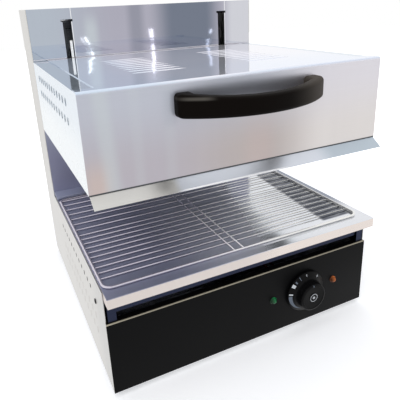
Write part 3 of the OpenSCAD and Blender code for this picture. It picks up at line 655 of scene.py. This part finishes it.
# %% One pressed louvre
def close_skins(shape, first, second):
    """Faces on two skins of points, and round their borders, which make them one closed shell."""
    last_i, last_j = len(first) - 1, len(first[0]) - 1
    for i in range(last_i):
        for j in range(last_j):
            for skin in (first, second):
                shape.faces.new((skin[i][j], skin[i + 1][j], skin[i + 1][j + 1], skin[i][j + 1]))
        for j in (0, last_j):
            shape.faces.new((first[i][j], first[i + 1][j], second[i + 1][j], second[i][j]))
    for i in (0, last_i):
        for j in range(last_j):
            shape.faces.new((first[i][j], first[i][j + 1], second[i][j + 1], second[i][j]))


def louvre(length, width, rise, gauge, u, v, w, ramp=1.0, fall=0.0):
    """A shell along u that rises over the ramp share of its width, then sinks by the fall share."""
    u, v, w = Vector(u), Vector(v), Vector(w)
    shape = bmesh.new()
    across, along = 8, 4
    skins = []
    for depth in (0, gauge):
        skin = []
        for i in range(across + 1):
            a = -1 + 2 * i / across
            ends = max(0.0, 1 - abs(a) ** 5) ** 0.5
            line = []
            for j in range(along + 1):
                b = ramp * j / (along - 1) if ramp < 1 and j < along else j / along
                height = rise * ends * sin(min(1, b / ramp) * pi / 2)
                height *= 1 - fall * max(0.0, b - ramp) / max(1e-9, 1 - ramp)
                place = u * (a * length / 2) + v * ((b - 0.5) * width) + w * (height - depth)
                line.append(shape.verts.new(place))
            skin.append(line)
        skins.append(skin)
    close_skins(shape, *skins)
    bmesh.ops.recalc_face_normals(shape, faces=shape.faces)
    return smoothed(mesh_of(shape, "louvre"))


# %% Louvres of the head's top
hood_low, hood_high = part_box("head_hood")
HEAD_TOP, HEAD_FOOT, HEAD_FRONT, HALF = hood_high.z, hood_low.z, hood_low.y, hood_high.x
VENT_X, VENT_PITCH, VENT_COUNT = 0.089, 0.021, 9
vent_first = (hood_low.y + hood_high.y) / 2 - VENT_PITCH * (VENT_COUNT - 1) / 2
in_rows("hood_louvres",
        louvre(length=0.0785, width=0.0054, rise=0.0006, gauge=0.0004,
               u=(1, 0, 0), v=(0, 1, 0), w=(0, 0, 1), ramp=0.30, fall=0.65),
        "hood_steel", body="head", start=(-VENT_X, vent_first, HEAD_TOP + 0.0001),
        count=VENT_COUNT, step=(0, VENT_PITCH, 0), row_count=2, row_step=(2 * VENT_X, 0, 0))


# %% Louvres, pockets and small vents of the sides
def cup(length, width, depth, outward, levels=((1.25, 0), (1.0, 0), (0.8, 1))):
    """A shallow pocket behind a slit, from (size, share of the depth) pairs."""
    outward = Vector(outward)
    shape = bmesh.new()
    radius, straight = width / 2, (length - width) / 2
    oval = [(radius * cos(tau * k / 16), radius * sin(tau * k / 16)) for k in range(16)]
    oval = [(a, b + (straight if b > -1e-9 else -straight)) for a, b in oval]
    levels = [[shape.verts.new(Vector((0, a * grow, b * grow)) - outward * depth * inset)
               for a, b in oval] for grow, inset in levels]
    for first, second in zip(levels, levels[1:]):
        for k in range(16):
            n = (k + 1) % 16
            shape.faces.new((first[k], first[n], second[n], second[k]))
    shape.faces.new(levels[-1])
    return mesh_of(shape, "cup")


PANEL_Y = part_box("control_panel")[0].y
PROUD, VENT_SHADE_PROUD = 0.00005, 0.00006    # keep laid-on pieces clear of the sheet under them
LOUVRE_SHIFT, POCKET_INSET = 0.0012, 0.0012
SIDE_PITCH, SIDE_COUNT, SMALL_PITCH = 0.021, 12, 0.0195
for side, word in ((-1, "left"), (1, "right")):
    out = (side, 0, 0)
    for place, sheet, y, z, row_step, mouth in (  # mouth: -1 opens to the front, 1 to the rear
            ("head", "side_steel", HEAD_FRONT + 0.075, HEAD_FOOT + 0.076, 0.025, -1),
            ("base", "cheek_steel", PANEL_Y + 0.066, 0.072, 0.026, 1)):
        spread = dict(body=place, count=SIDE_COUNT, step=(0, SIDE_PITCH, 0), row_count=2,
                      row_step=(0, 0, row_step))
        in_rows(f"{word}_{place}_louvres",
                louvre(length=0.0112, width=0.0030, rise=0.0008, gauge=0.0004,
                       u=(0, 0, 1), v=(0, mouth, 0), w=out), sheet,
                start=(side * (HALF + PROUD), y - mouth * LOUVRE_SHIFT, z), **spread)
        in_rows(f"{word}_{place}_pockets",
                cup(length=0.0106, width=0.0046, depth=0.0014, outward=out), "plain_steel",
                start=(side * (HALF - POCKET_INSET), y, z), **spread)
    # the small vents have no louvre, so a dark cup rims each of them as painted shade inside the
    # vent
    in_rows(f"{word}_vent_shades",
            cup(length=0.0076, width=0.0054, depth=0.0026, outward=out,
                levels=((1.0, 0), (0.72, 0.01), (0.7, 1))),
            "rubber", body="base", start=(side * (HALF + VENT_SHADE_PROUD), PANEL_Y + 0.080, 0.139),
            count=SIDE_COUNT, step=(0, SMALL_PITCH, 0))

# %% [markdown]
# ## Screws
# The sheets are held by pan-head screws with a cross recess. One screw is turned from a profile,
# and a cross-shaped punch is taken out of its head with a Boolean. The row layout then places
# copies of it.

# %% Turned shapes
def turned(profile, direction, steps=32, at=(0, 0, 0)):
    """Spins (radius, distance) pairs about a line through at along direction."""
    axis = Vector(direction).normalized()
    across = axis.orthogonal().normalized()
    third = axis.cross(across)
    turns = [cos(tau * k / steps) * across + sin(tau * k / steps) * third for k in range(steps)]
    shape = bmesh.new()
    rings = [[shape.verts.new(axis * distance + radius * turn)
              for turn in (turns if radius > 1e-7 else turns[:1])] for radius, distance in profile]
    for first, second in zip(rings, rings[1:]):
        for k in range(steps):
            n = (k + 1) % steps
            corners = list(dict.fromkeys((first[k % len(first)], first[n % len(first)],
                                          second[n % len(second)], second[k % len(second)])))
            if len(corners) > 2:
                shape.faces.new(corners)
    bmesh.ops.translate(shape, verts=shape.verts, vec=at)
    return shape


def arc(centre_a, centre_b, radius, start, stop, steps):
    """Points of an arc in a plane, from angle start to angle stop."""
    turns = [start + (stop - start) * i / steps for i in range(steps + 1)]
    return [(centre_a + radius * cos(turn), centre_b + radius * sin(turn)) for turn in turns]


def crossed_screw(head_h, shank, direction, head_r=0.004, shank_r=0.002):
    head = turned([(0, -shank), (shank_r, -shank), (shank_r, 0), (head_r, 0),
                   (head_r, head_h * 0.35), (head_r * 0.85, head_h * 0.75),
                   (head_r * 0.5, head_h * 0.96), (0, head_h)], direction, 20)
    screw = piece_from(head, "screw")
    punch_shape = bmesh.new()
    d = Vector(direction)
    a = d.orthogonal().normalized()
    for arm in (a, d.cross(a)):
        other = d.cross(arm)
        bmesh.ops.create_cube(punch_shape, size=1, matrix=Matrix.Translation(d * head_h) @ Matrix(
            (arm * head_r * 1.15, other * head_r * 0.24, d * head_h * 1.1)).transposed().to_4x4())
    punch = piece_from(punch_shape, "punch")
    cut = screw.modifiers.new("recess", "BOOLEAN")
    cut.object, cut.operation, cut.solver, cut.use_self = punch, "DIFFERENCE", "EXACT", True
    mesh = evaluated(screw)
    for extra in (screw, punch):
        bpy.data.objects.remove(extra)
    return mesh


# %% Screws on the cheeks and on the rear cover
CHEEK_SCREW_Y, CHEEK_SCREW_Z = PANEL_Y + 0.054, 0.129
SCREW_IN = 0.008                         # edge distance of the cover's screws
for side, name, *nodes in ((-1, "cheek_screw_heads", "cheek_screws"),
                           (1, "right_cheek_screw_head")):
    in_rows(name, crossed_screw(head_h=0.0015, shank=0.0059, direction=(side, 0, 0)),
            "dark_screw", *nodes, slot="screw_steel", body="base",
            start=(side * HALF, CHEEK_SCREW_Y, CHEEK_SCREW_Z))
cover_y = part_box("rear_cover")[1].y
for low_z, high_z, *nodes in ((0.035, 0.180, "cover_screws"), (0.350, 0.490)):
    in_rows(f"cover_screws_{round(low_z / MM)}",
            crossed_screw(head_h=0.002, shank=0.008, direction=(0, 1, 0)), "screw_steel", *nodes,
            body="base", start=(-HALF + SCREW_IN, cover_y, low_z), count=2,
            step=(2 * HALF - 2 * SCREW_IN, 0, 0), row_count=2, row_step=(0, 0, high_z - low_z))

# %% [markdown]
# ## The wire rack
# The rack is one 4 mm rod bent to a frame with round corners, 17 cross wires of 2 mm, and two
# long wires that tie them together. A tree sweeps the rod along a filleted rectangle, lines up
# the cross wires, and puts a small weld bead where each wire meets the side rods.

# %% Rack layout
rack = Layout("rack", Centre="Vector", Width="Float", Depth="Float", Corner="Float",
              Rod_Radius="Float", Wire_Radius="Float", Front_Start="Vector", Front_Pitch="Vector",
              Front_Count="Int", Rear_Start="Vector", Rear_Pitch="Vector", Rear_Count="Int",
              Wire_Length="Float", Long_Start="Vector", Long_Pitch="Vector", Long_Length="Float",
              Bead_Reach="Float", Material="Material")
given = rack.given
outline = rack.node("GeometryNodeCurvePrimitiveQuadrilateral", {"mode": "RECTANGLE"},
                    {"Width": given["Width"], "Height": given["Depth"]})
outline = rack.node("GeometryNodeFilletCurve", {"mode": "POLY"},
                    {"Curve": outline, "Count": 8, "Radius": given["Corner"]})
parts = [rack.moved(rack.swept(outline, given["Rod Radius"], 14), Translation=given["Centre"])]


def wire_row(start, pitch, count, length, turn):
    wire = rack.node("GeometryNodeMeshCylinder", {"fill_type": "TRIANGLE_FAN"},
                     {"Vertices": 12, "Side Segments": 1, "Radius": given["Wire Radius"],
                      "Depth": length})
    return rack.copies(rack.line(start, pitch, count), rack.moved(wire, Rotation=turn))


def bead_row(start, pitch, count, side):
    ball = rack.node("GeometryNodeMeshUVSphere", None, {"Segments": 10, "Rings": 6, "Radius": 1.0})
    bead = rack.moved(ball, Scale=rack.scaled((1.15, 0.92, 1.0), given["Rod Radius"]))
    shift = rack.node("ShaderNodeCombineXYZ", None, {"X": given["Bead Reach"] * float(side)})
    return rack.moved(rack.copies(rack.line(start, pitch, count), bead), Translation=shift)


for which in ("Front", "Rear"):
    place = [given[f"{which} {value}"] for value in ("Start", "Pitch", "Count")]
    parts.append(wire_row(*place, given["Wire Length"], (0, pi / 2, 0)))
    parts.extend(bead_row(*place, side) for side in (-1, 1))
parts.append(wire_row(given["Long Start"], given["Long Pitch"], 2, given["Long Length"],
                      (pi / 2, 0, 0)))
rack.end(*parts)

# %% Rack
rack_low, rack_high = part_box("wire_rack")
ROD, WIRE = 0.0020, 0.0010               # radii
WIRE_OVER, WIRE_TRIM = 0.0008, 0.0002    # the wires' ends stand a little past the frame rod
FIRST_WIRE, LAST_WIRE = 0.027, 0.0105    # distances of the outer wires from the rack's edges
x0, x1 = rack_low.x + WIRE_OVER + ROD, rack_high.x - WIRE_OVER - ROD
y0, y1 = rack_low.y + ROD, rack_high.y - ROD
rod_z = rack_low.z + ROD
mid_x, mid_y = (x0 + x1) / 2, (y0 + y1) / 2
front_y, front_pitch, front_n, rear_n = rack_low.y + FIRST_WIRE, 0.0151, 10, 7
front_end = front_y + (front_n - 1) * front_pitch
rear_pitch = (rack_high.y - LAST_WIRE - front_end) / rear_n
LONG_PITCH, LONG_SHIFT = 0.015, 0.0137   # the two long wires lie left of the middle,
LONG_LIFT, LONG_OVER = 0.0006, 0.002     # over the cross wires, and reach over the frame's ends
wire_rack = grown(
    rack, "rack_wires", Centre=(mid_x, mid_y, rod_z), Width=x1 - x0, Depth=y1 - y0, Corner=0.012,
    Rod_Radius=ROD, Wire_Radius=WIRE, Wire_Length=x1 - x0 + 2 * (ROD + WIRE_OVER) - WIRE_TRIM,
    Front_Start=(mid_x, front_y, rod_z), Front_Pitch=(0, front_pitch, 0), Front_Count=front_n,
    Rear_Start=(mid_x, front_end + rear_pitch, rod_z), Rear_Pitch=(0, rear_pitch, 0),
    Rear_Count=rear_n,
    Long_Start=(mid_x - LONG_SHIFT - LONG_PITCH / 2, mid_y, rod_z + WIRE + LONG_LIFT),
    Long_Pitch=(LONG_PITCH, 0, 0), Long_Length=y1 - y0 + LONG_OVER, Bead_Reach=(x1 - x0) / 2,
    Material=FINISH["rack_chrome"])
smoothed(wire_rack.data, lambda face: len(face.vertices) > 3)   # triangles are the wires' ends
settle(wire_rack, "rack_chrome", "wire_rack")

# %% [markdown]
# ## The handle
# The handle is one thick moulding: a bow that grows out of two legs, with well rounded edges and
# a top that falls a little to the front. We draw its outline from above, give it its height, round
# the edges with a bevel, and then lower the top towards the front by moving points.

# %% Outline of the handle from above
handle_low, handle_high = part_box("handle")
handle_mid = (handle_low.x + handle_high.x) / 2
handle_w = (handle_high.x - handle_low.x) / 2
BOW_R, BOW_C, BOW_T, LEG, CORNER = 0.1685, 0.1145, 0.015, 0.024, 0.012
bow_turn = asin((handle_w - CORNER) / (BOW_R - CORNER))
corner_y = BOW_C - (BOW_R - CORNER) * cos(bow_turn)
inner_turn = asin((handle_w - LEG) / (BOW_R - BOW_T))
down = 1.5 * pi
outline = ([(handle_w - LEG, 0), (handle_w, 0)]
           + arc(handle_w - CORNER, corner_y, CORNER, tau, down + bow_turn, 8)
           + arc(0, BOW_C, BOW_R, down + bow_turn, down - bow_turn, 48)
           + arc(-handle_w + CORNER, corner_y, CORNER, down - bow_turn, pi, 8)
           + [(-handle_w, 0), (LEG - handle_w, 0)]
           + arc(0, BOW_C, BOW_R - BOW_T, down - inner_turn, down + inner_turn, 40))
print("handle outline:", len(outline), "points")

# %% Handle
ROUNDING, FALL, FALL_FROM, FALL_OVER = 0.0058, 0.0060, 0.012, 0.042
shape = bmesh.new()
rings = [[shape.verts.new((handle_mid + x, HEAD_FRONT + y, z)) for x, y in outline]
         for z in (handle_low.z, handle_high.z)]
caps = [shape.faces.new(ring) for ring in rings]
for k in range(len(outline)):
    n = (k + 1) % len(outline)
    shape.faces.new((rings[0][k], rings[0][n], rings[1][n], rings[1][k]))
bmesh.ops.remove_doubles(shape, verts=shape.verts, dist=1e-6)
bmesh.ops.recalc_face_normals(shape, faces=shape.faces)
round_edges = {e for cap in caps if cap.is_valid for e in cap.edges
               if any(v.co.y < HEAD_FRONT - 1e-5 for v in e.verts)}
bmesh.ops.bevel(shape, geom=list(round_edges), offset=ROUNDING, segments=6, profile=0.5,
                affect="EDGES", clamp_overlap=False)
mid_z = (handle_low.z + handle_high.z) / 2
for v in shape.verts:
    ahead = min(1.0, max(0.0, (HEAD_FRONT - v.co.y - FALL_FROM) / FALL_OVER))
    lift = (v.co.z - mid_z) / (handle_high.z - mid_z)
    v.co.z -= FALL * ahead * max(0.0, lift)
bow = piece_from(shape, "handle_bow", sharp=50)
bow.modifiers.new("even", "WEIGHTED_NORMAL").keep_sharp = True
settle(bow, "handle_plastic", "handle")
print("handle:", len(bow.data.polygons), "faces")

# %% [markdown]
# ## Knob, dial and lamps
# The knob is a moulded skirt with a round grip in front of it. Turning a profile gives both.
# The printed marks are thin patches that follow the skirt's slope, and they stay generic: dashes
# and blocks, as on any heat dial. The lamps are small domes in a narrow bezel.

# %% Knob
TO_FRONT = (0, -1, 0)


def panel_spot(node):
    """Where the middle line of a node meets the control panel's face."""
    low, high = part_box(node)
    return Vector(((low.x + high.x) / 2, PANEL_Y, (low.z + high.z) / 2))


knob_at = panel_spot("knob")
SKIRT_R, GRIP_R, BACK, FRONT, CAP_R, RIM_R = 0.035, 0.024, 0.003, 0.026, 0.008, 0.0030
SHAFT_R, SHAFT_DEPTH = 0.0031, 0.012     # the blind bore that takes the regulator's shaft
SLOPE_OUT, SLOPE_IN = (SKIRT_R - 0.0004, BACK + 0.0032), (GRIP_R + 0.0020, BACK + 0.0064)
RIM_CENTRE = GRIP_R - 0.0036, FRONT - 0.0032
CAP_SEAT, CAP_FACE = FRONT - 0.0028, FRONT - 0.0002
knob_profile = ([(0, SHAFT_DEPTH), (SHAFT_R, SHAFT_DEPTH), (SHAFT_R, BACK),
                 (SKIRT_R - 0.0006, BACK), (SKIRT_R, BACK + 0.0006), (SKIRT_R, BACK + 0.0026),
                 SLOPE_OUT, SLOPE_IN,
                 (GRIP_R + 0.0008, BACK + 0.0076), (GRIP_R + 0.0001, BACK + 0.0098)]
                + arc(*RIM_CENTRE, RIM_R, 0, pi / 2, 7)
                + [(GRIP_R - 0.0046, FRONT - 0.0002), (GRIP_R - 0.0052, FRONT - 0.0008),
                   (CAP_R + 0.0012, FRONT - 0.0010), (CAP_R, FRONT - 0.0012),
                   (CAP_R, CAP_SEAT), (0, CAP_SEAT)])
shape = turned(knob_profile, TO_FRONT, 96, knob_at)
FLUTES, FLUTE_SHARE = 24, 0.005          # shallow finger flutes round the grip
for v in shape.verts:
    off = v.co - knob_at
    across = Vector((off.x, 0, off.z))
    if abs(across.length - GRIP_R) < 0.0010 and -FRONT < off.y < -BACK - 0.0095:
        v.co -= across * FLUTE_SHARE * (1 + cos(across.angle(Vector((1, 0, 0))) * FLUTES))
knob = piece_from(shape, "knob_body", sharp=38)
settle(knob, "black_plastic", "knob")
print("knob:", len(knob.data.polygons), "faces, centre", tuple(round(v, 4) for v in knob_at))

# %% Dial marks on the skirt, pointer on the grip, ring on the cap
def skirt_depth(radius):
    """How far in front of the panel the skirt's face lies at a radius."""
    (outer, outer_depth), (inner, inner_depth) = SLOPE_OUT, SLOPE_IN
    return outer_depth + (inner_depth - outer_depth) * (outer - radius) / (outer - inner)


def printed(shape, inner, outer, start, stop, depth, steps=8, bands=3):
    """A thin patch between two radii and two angles; outer may narrow with the angle."""
    sheets = []
    for lift in (-0.00005, 0.00007):
        grid = []
        for k in range(steps + 1):
            turn = radians(start + (stop - start) * k / steps)
            rim = outer(k / steps) if callable(outer) else outer
            radii = [inner + (rim - inner) * b / bands for b in range(bands + 1)]
            grid.append([shape.verts.new(knob_at + Vector(
                (r * cos(turn), -depth(r) - lift, r * sin(turn)))) for r in radii])
        sheets.append(grid)
    close_skins(shape, *sheets)


def rim_depth(radius):
    """How far in front of the panel the grip's round rim lies at a radius."""
    return RIM_CENTRE[1] + (RIM_R ** 2 - max(0.0, radius - RIM_CENTRE[0]) ** 2) ** 0.5


def cap_depth(radius):
    return CAP_FACE


def ink_piece(name, ink, colour, *patches):
    """Printed patches on the knob, as one piece with an ink of its own."""
    finish = Finish(ink, Specular_IOR_Level=0.2)
    patchy = finish.noise(2500)
    finish.wear(Base_Color=finish.mix(colour, tuple(c * 0.8 for c in colour), patchy),
                Roughness=0.5 + (patchy - 0.5) * 0.2)
    FINISH[ink] = finish.material
    shape = bmesh.new()
    for patch in patches:
        printed(shape, *patch)
    settle(piece_from(shape, name), ink, slot="black_plastic", body="control_knob")


ink_piece("dial_marks", "white_ink", rgb(222, 226, 230), *(
    (*patch, skirt_depth) for patch in (
        (0.0282, 0.0342, 170, 174.5), (0.0284, 0.0342, 140, 150),
        (0.0292, 0.0326, 91, 93), (0.0292, 0.0326, 48, 50.5))))
ink_piece("dial_wedge", "grey_ink", rgb(112, 121, 133),
          (0.0288, lambda t: 0.0344 - 0.0050 * t ** 1.5, 178, 246, skirt_depth, 24),
          (0.0288, 0.0328, 129, 134, skirt_depth), (0.0280, 0.0340, 114.5, 116.5, skirt_depth),
          (0.0192, 0.0229, 90.5, 94.5, rim_depth))
cap = turned([(0, CAP_SEAT), (CAP_R - 0.0001, CAP_SEAT), (CAP_R - 0.0001, FRONT - 0.0008),
              (CAP_R - 0.0005, FRONT - 0.0003), (CAP_R - 0.0010, CAP_FACE), (0, CAP_FACE)],
             TO_FRONT, 48, knob_at)
settle(piece_from(cap, "knob_cap_disc", sharp=30), "black_plastic", "knob_cap")
ink_piece("cap_ring", "ring_ink", rgb(215, 218, 222),
          (0.0060, 0.0069, 0, 360, cap_depth, 48), (1e-7, 0.0022, 0, 360, cap_depth, 24))
print("dial and cap are printed")

# %% Signal lamps
LENS = ([(0, -0.0082), (0.0045, -0.0082), (0.0045, 0), (0.0059, 0), (0.0060, 0.0004),
         (0.0059, 0.0010), (0.0053, 0.0013)]
        + arc(0, 0.0011, 0.0050, radians(8), pi / 2, 8)[:-1] + [(0, 0.0061)])
for word, deep, bright in (("green", rgb(0, 34, 16), rgb(0, 116, 60)),
                           ("amber", rgb(60, 24, 3), rgb(190, 96, 18))):
    node, slot = f"{word}_lamp", f"{word}_lens"
    low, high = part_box(node)
    finish = Finish(slot, Specular_IOR_Level=0.3)
    cloud = finish.noise(300)
    # painted light: each lens is deep on its left and bright from its middle to the right
    lit = finish.x.rise(low.x + 0.001, (low.x + high.x) / 2 + 0.002)
    finish.wear(Base_Color=finish.mix(deep, bright, lit * 0.85 + cloud * 0.15),
                Roughness=0.14 + (cloud - 0.5) * 0.1)
    FINISH[slot] = finish.material
    settle(piece_from(turned(LENS, TO_FRONT, 40, panel_spot(node)), node + "_lens", sharp=40),
           slot, node)
    print(f"{word} lamp at", tuple(round(v, 4) for v in panel_spot(node)))

# %% [markdown]
# ## Counterbalance springs
# Two coil springs inside the column hang from the upper beam and pull at the sliders. A coil
# follows a simple rule, so a tree sweeps the wire along a spiral.

# %% Coil layout and springs
coil = Layout("coil", Turns="Float", Coil_Radius="Float", Wire_Radius="Float", Height="Float",
              Foot="Vector", Material="Material")
given = coil.given
spiral = coil.node("GeometryNodeCurveSpiral", None,
                   {"Resolution": 20, "Rotations": given["Turns"],
                    "Start Radius": given["Coil Radius"], "End Radius": given["Coil Radius"],
                    "Height": given["Height"]})
coil.end(coil.moved(coil.swept(spiral, given["Wire Radius"], 8, caps=True),
                    Translation=given["Foot"]))
SPRING_WIRE = 0.0009                     # radius
for word in ("left", "right"):
    low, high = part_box(f"{word}_spring")
    middle = (low.x + high.x) / 2, (low.y + high.y) / 2
    spring = grown(coil, f"{word}_coil", Turns=42.0,
                   Coil_Radius=(high.x - low.x) / 2 - SPRING_WIRE * 1.03, Wire_Radius=SPRING_WIRE,
                   Height=high.z - low.z - 2.2 * SPRING_WIRE,
                   Foot=(*middle, low.z + 1.1 * SPRING_WIRE), Material=FINISH["spring_wire"])
    smoothed(spring.data).materials.clear()
    spring.data.materials.append(FINISH["spring_wire"])
    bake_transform(spring)
    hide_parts(f"{word}_spring")

# %% [markdown]
# ## Finishes for the parts that stay as they are
# Every other CAD node keeps its own mesh, and only gets its material: the frame does not allow
# its shape to change, and its shape is right.

# %% Finish the remaining nodes
kept = 0
for node, piece in NODES.items():
    if piece.hide_render:
        continue
    for slot in piece.material_slots:
        slot.material = FINISH[SLOT_OF[node]]
    kept += 1
print("CAD nodes that stay visible:", kept)


# %% [markdown]
# ## Floor, backdrop and light
# The photograph has a white ground. To keep the colours true, the lamps stay at a plain level,
# and the world is white only for what the camera and the mirror-like sheets see. Thin strip lamps
# stand in front on the right: polished steel shows them as narrow bright lines.

# %% Floor
def ray_kinds(graph):
    """Numbers that are 1 on camera, glossy and transmission rays."""
    outputs = graph.tree.nodes.new("ShaderNodeLightPath").outputs
    return [Amount(graph, outputs[f"Is {kind} Ray"])
            for kind in ("Camera", "Glossy", "Transmission")]


floor_shape = bmesh.new()
bmesh.ops.create_grid(floor_shape, x_segments=1, y_segments=1, size=6)
floor = piece_from(floor_shape, "floor")
if floor.data.polygons[0].normal.z < 0:
    floor.data.flip_normals()
ground = Finish("floor", Roughness=0.9, Specular_IOR_Level=0.0, Base_Color=rgb(243, 243, 245))
seen, glossy, passing = ray_kinds(ground)
from_middle = ground.node("ShaderNodeVectorMath", {"operation": "LENGTH"}, {0: ground.place},
                          out=1)
dark, glow, white = (ground.node("ShaderNodeEmission", None,
                                 {"Color": (1, 1, 1), "Strength": strength})
                     for strength in (0.0, 0.30 + from_middle.rise(0.40, 1.0) * 0.7, 1.0))
extra = ground.node("ShaderNodeMixShader", None, {0: seen, 1: dark, 2: glow})
total = ground.node("ShaderNodeAddShader", None, {0: ground.shader.outputs[0], 1: extra})
total = ground.node("ShaderNodeMixShader", None, {0: glossy.most(passing), 1: total, 2: white})
ground.put(ground.tree.nodes["Material Output"].inputs["Surface"], total)
floor.data.materials.append(ground.material)
print("floor is ready")

# %% World
world = bpy.data.worlds.new("studio")
scene.world = world
world.use_nodes = True
sky = Graph(world.node_tree)
soft_light = sky.tree.nodes["Background"]
sky.put(soft_light.inputs["Color"], (0.93, 0.96, 1.0))
sky.put(soft_light.inputs["Strength"], 0.55)
white = sky.node("ShaderNodeBackground", None, {"Color": (1, 1, 1), "Strength": 1.0})
seen, glossy, passing = ray_kinds(sky)
choose = sky.node("ShaderNodeMixShader", None,
                  {0: seen.most(glossy).most(passing), 1: soft_light.outputs[0], 2: white})
sky.put(sky.tree.nodes["World Output"].inputs["Surface"], choose)
print("world light:", soft_light.inputs["Strength"].default_value)

# %% Lamps
def softbox(name, place, width, height, power, aim=(0, 0, 0.2), glossy=False):
    data = bpy.data.lights.new(name, "AREA")
    data.shape, data.size, data.size_y = "RECTANGLE", width, height
    data.energy = power
    lamp = placed(name, data)
    lamp.location = place
    lamp.rotation_euler = (Vector(aim) - Vector(place)).to_track_quat("-Z", "Y").to_euler()
    lamp.visible_camera = False
    lamp.visible_glossy = glossy
    return lamp


softbox("key", (-1.6, -1.3, 2.4), width=2.4, height=2.4, power=34)
softbox("top", (0.3, 0.2, 2.8), width=2.6, height=2.6, power=26)

STRIP_Y = -1.5


def strip(name, top, bottom, width, radiance):
    """A thin lamp between two (x, z) points of the plane y = STRIP_Y, facing the machine."""
    top, bottom = (Vector((x, STRIP_Y, z)) for x, z in (top, bottom))
    length = (top - bottom).length
    lamp = softbox(name, (top + bottom) / 2, width, length, pi * width * length * radiance,
                   glossy=True)
    up_axis = (top - bottom).normalized()
    to_lamp = Vector((0, -1, 0))
    side_axis = up_axis.cross(to_lamp).normalized()
    lamp.rotation_euler = Matrix((side_axis, up_axis, to_lamp)).transposed().to_euler()


for name, width, radiance, *path in (
        ("left_main", 0.007, 4, (0.232, 0.366), (0.243, 0.337)),
        ("left_upper", 0.007, 4, (0.266, 0.598), (0.246, 0.530)),
        ("left_high", 0.009, 3.5, (0.234, 0.692), (0.240, 0.644), (0.263, 0.600)),
        ("left_twin", 0.005, 2, (0.211, 0.366), (0.222, 0.337)),
        ("left_twin_upper", 0.005, 2, (0.245, 0.590), (0.224, 0.530)),
        ("middle_main", 0.006, 3, (0.599, 0.388), (0.603, 0.337)),
        ("middle_upper", 0.006, 3, (0.609, 0.600), (0.603, 0.530)),
        ("middle_twin", 0.008, 4.5, (0.614, 0.387), (0.615, 0.337)),
        ("middle_twin_upper", 0.008, 4.5, (0.616, 0.600), (0.615, 0.530)),
        ("middle_high", 0.014, 5, (0.612, 0.731), (0.613, 0.601)),
        ("right_main", 0.009, 5, (0.992, 0.362), (0.984, 0.337)),
        ("right_upper", 0.009, 5, (0.958, 0.600), (0.980, 0.530)),
        ("right_high", 0.013, 4, (0.990, 0.705), (0.963, 0.601))):
    for k, (top, bottom) in enumerate(zip(path, path[1:])):
        strip(f"strip_{name}_{k}", top, bottom, width, radiance)
scene.view_settings.view_transform = "Standard"
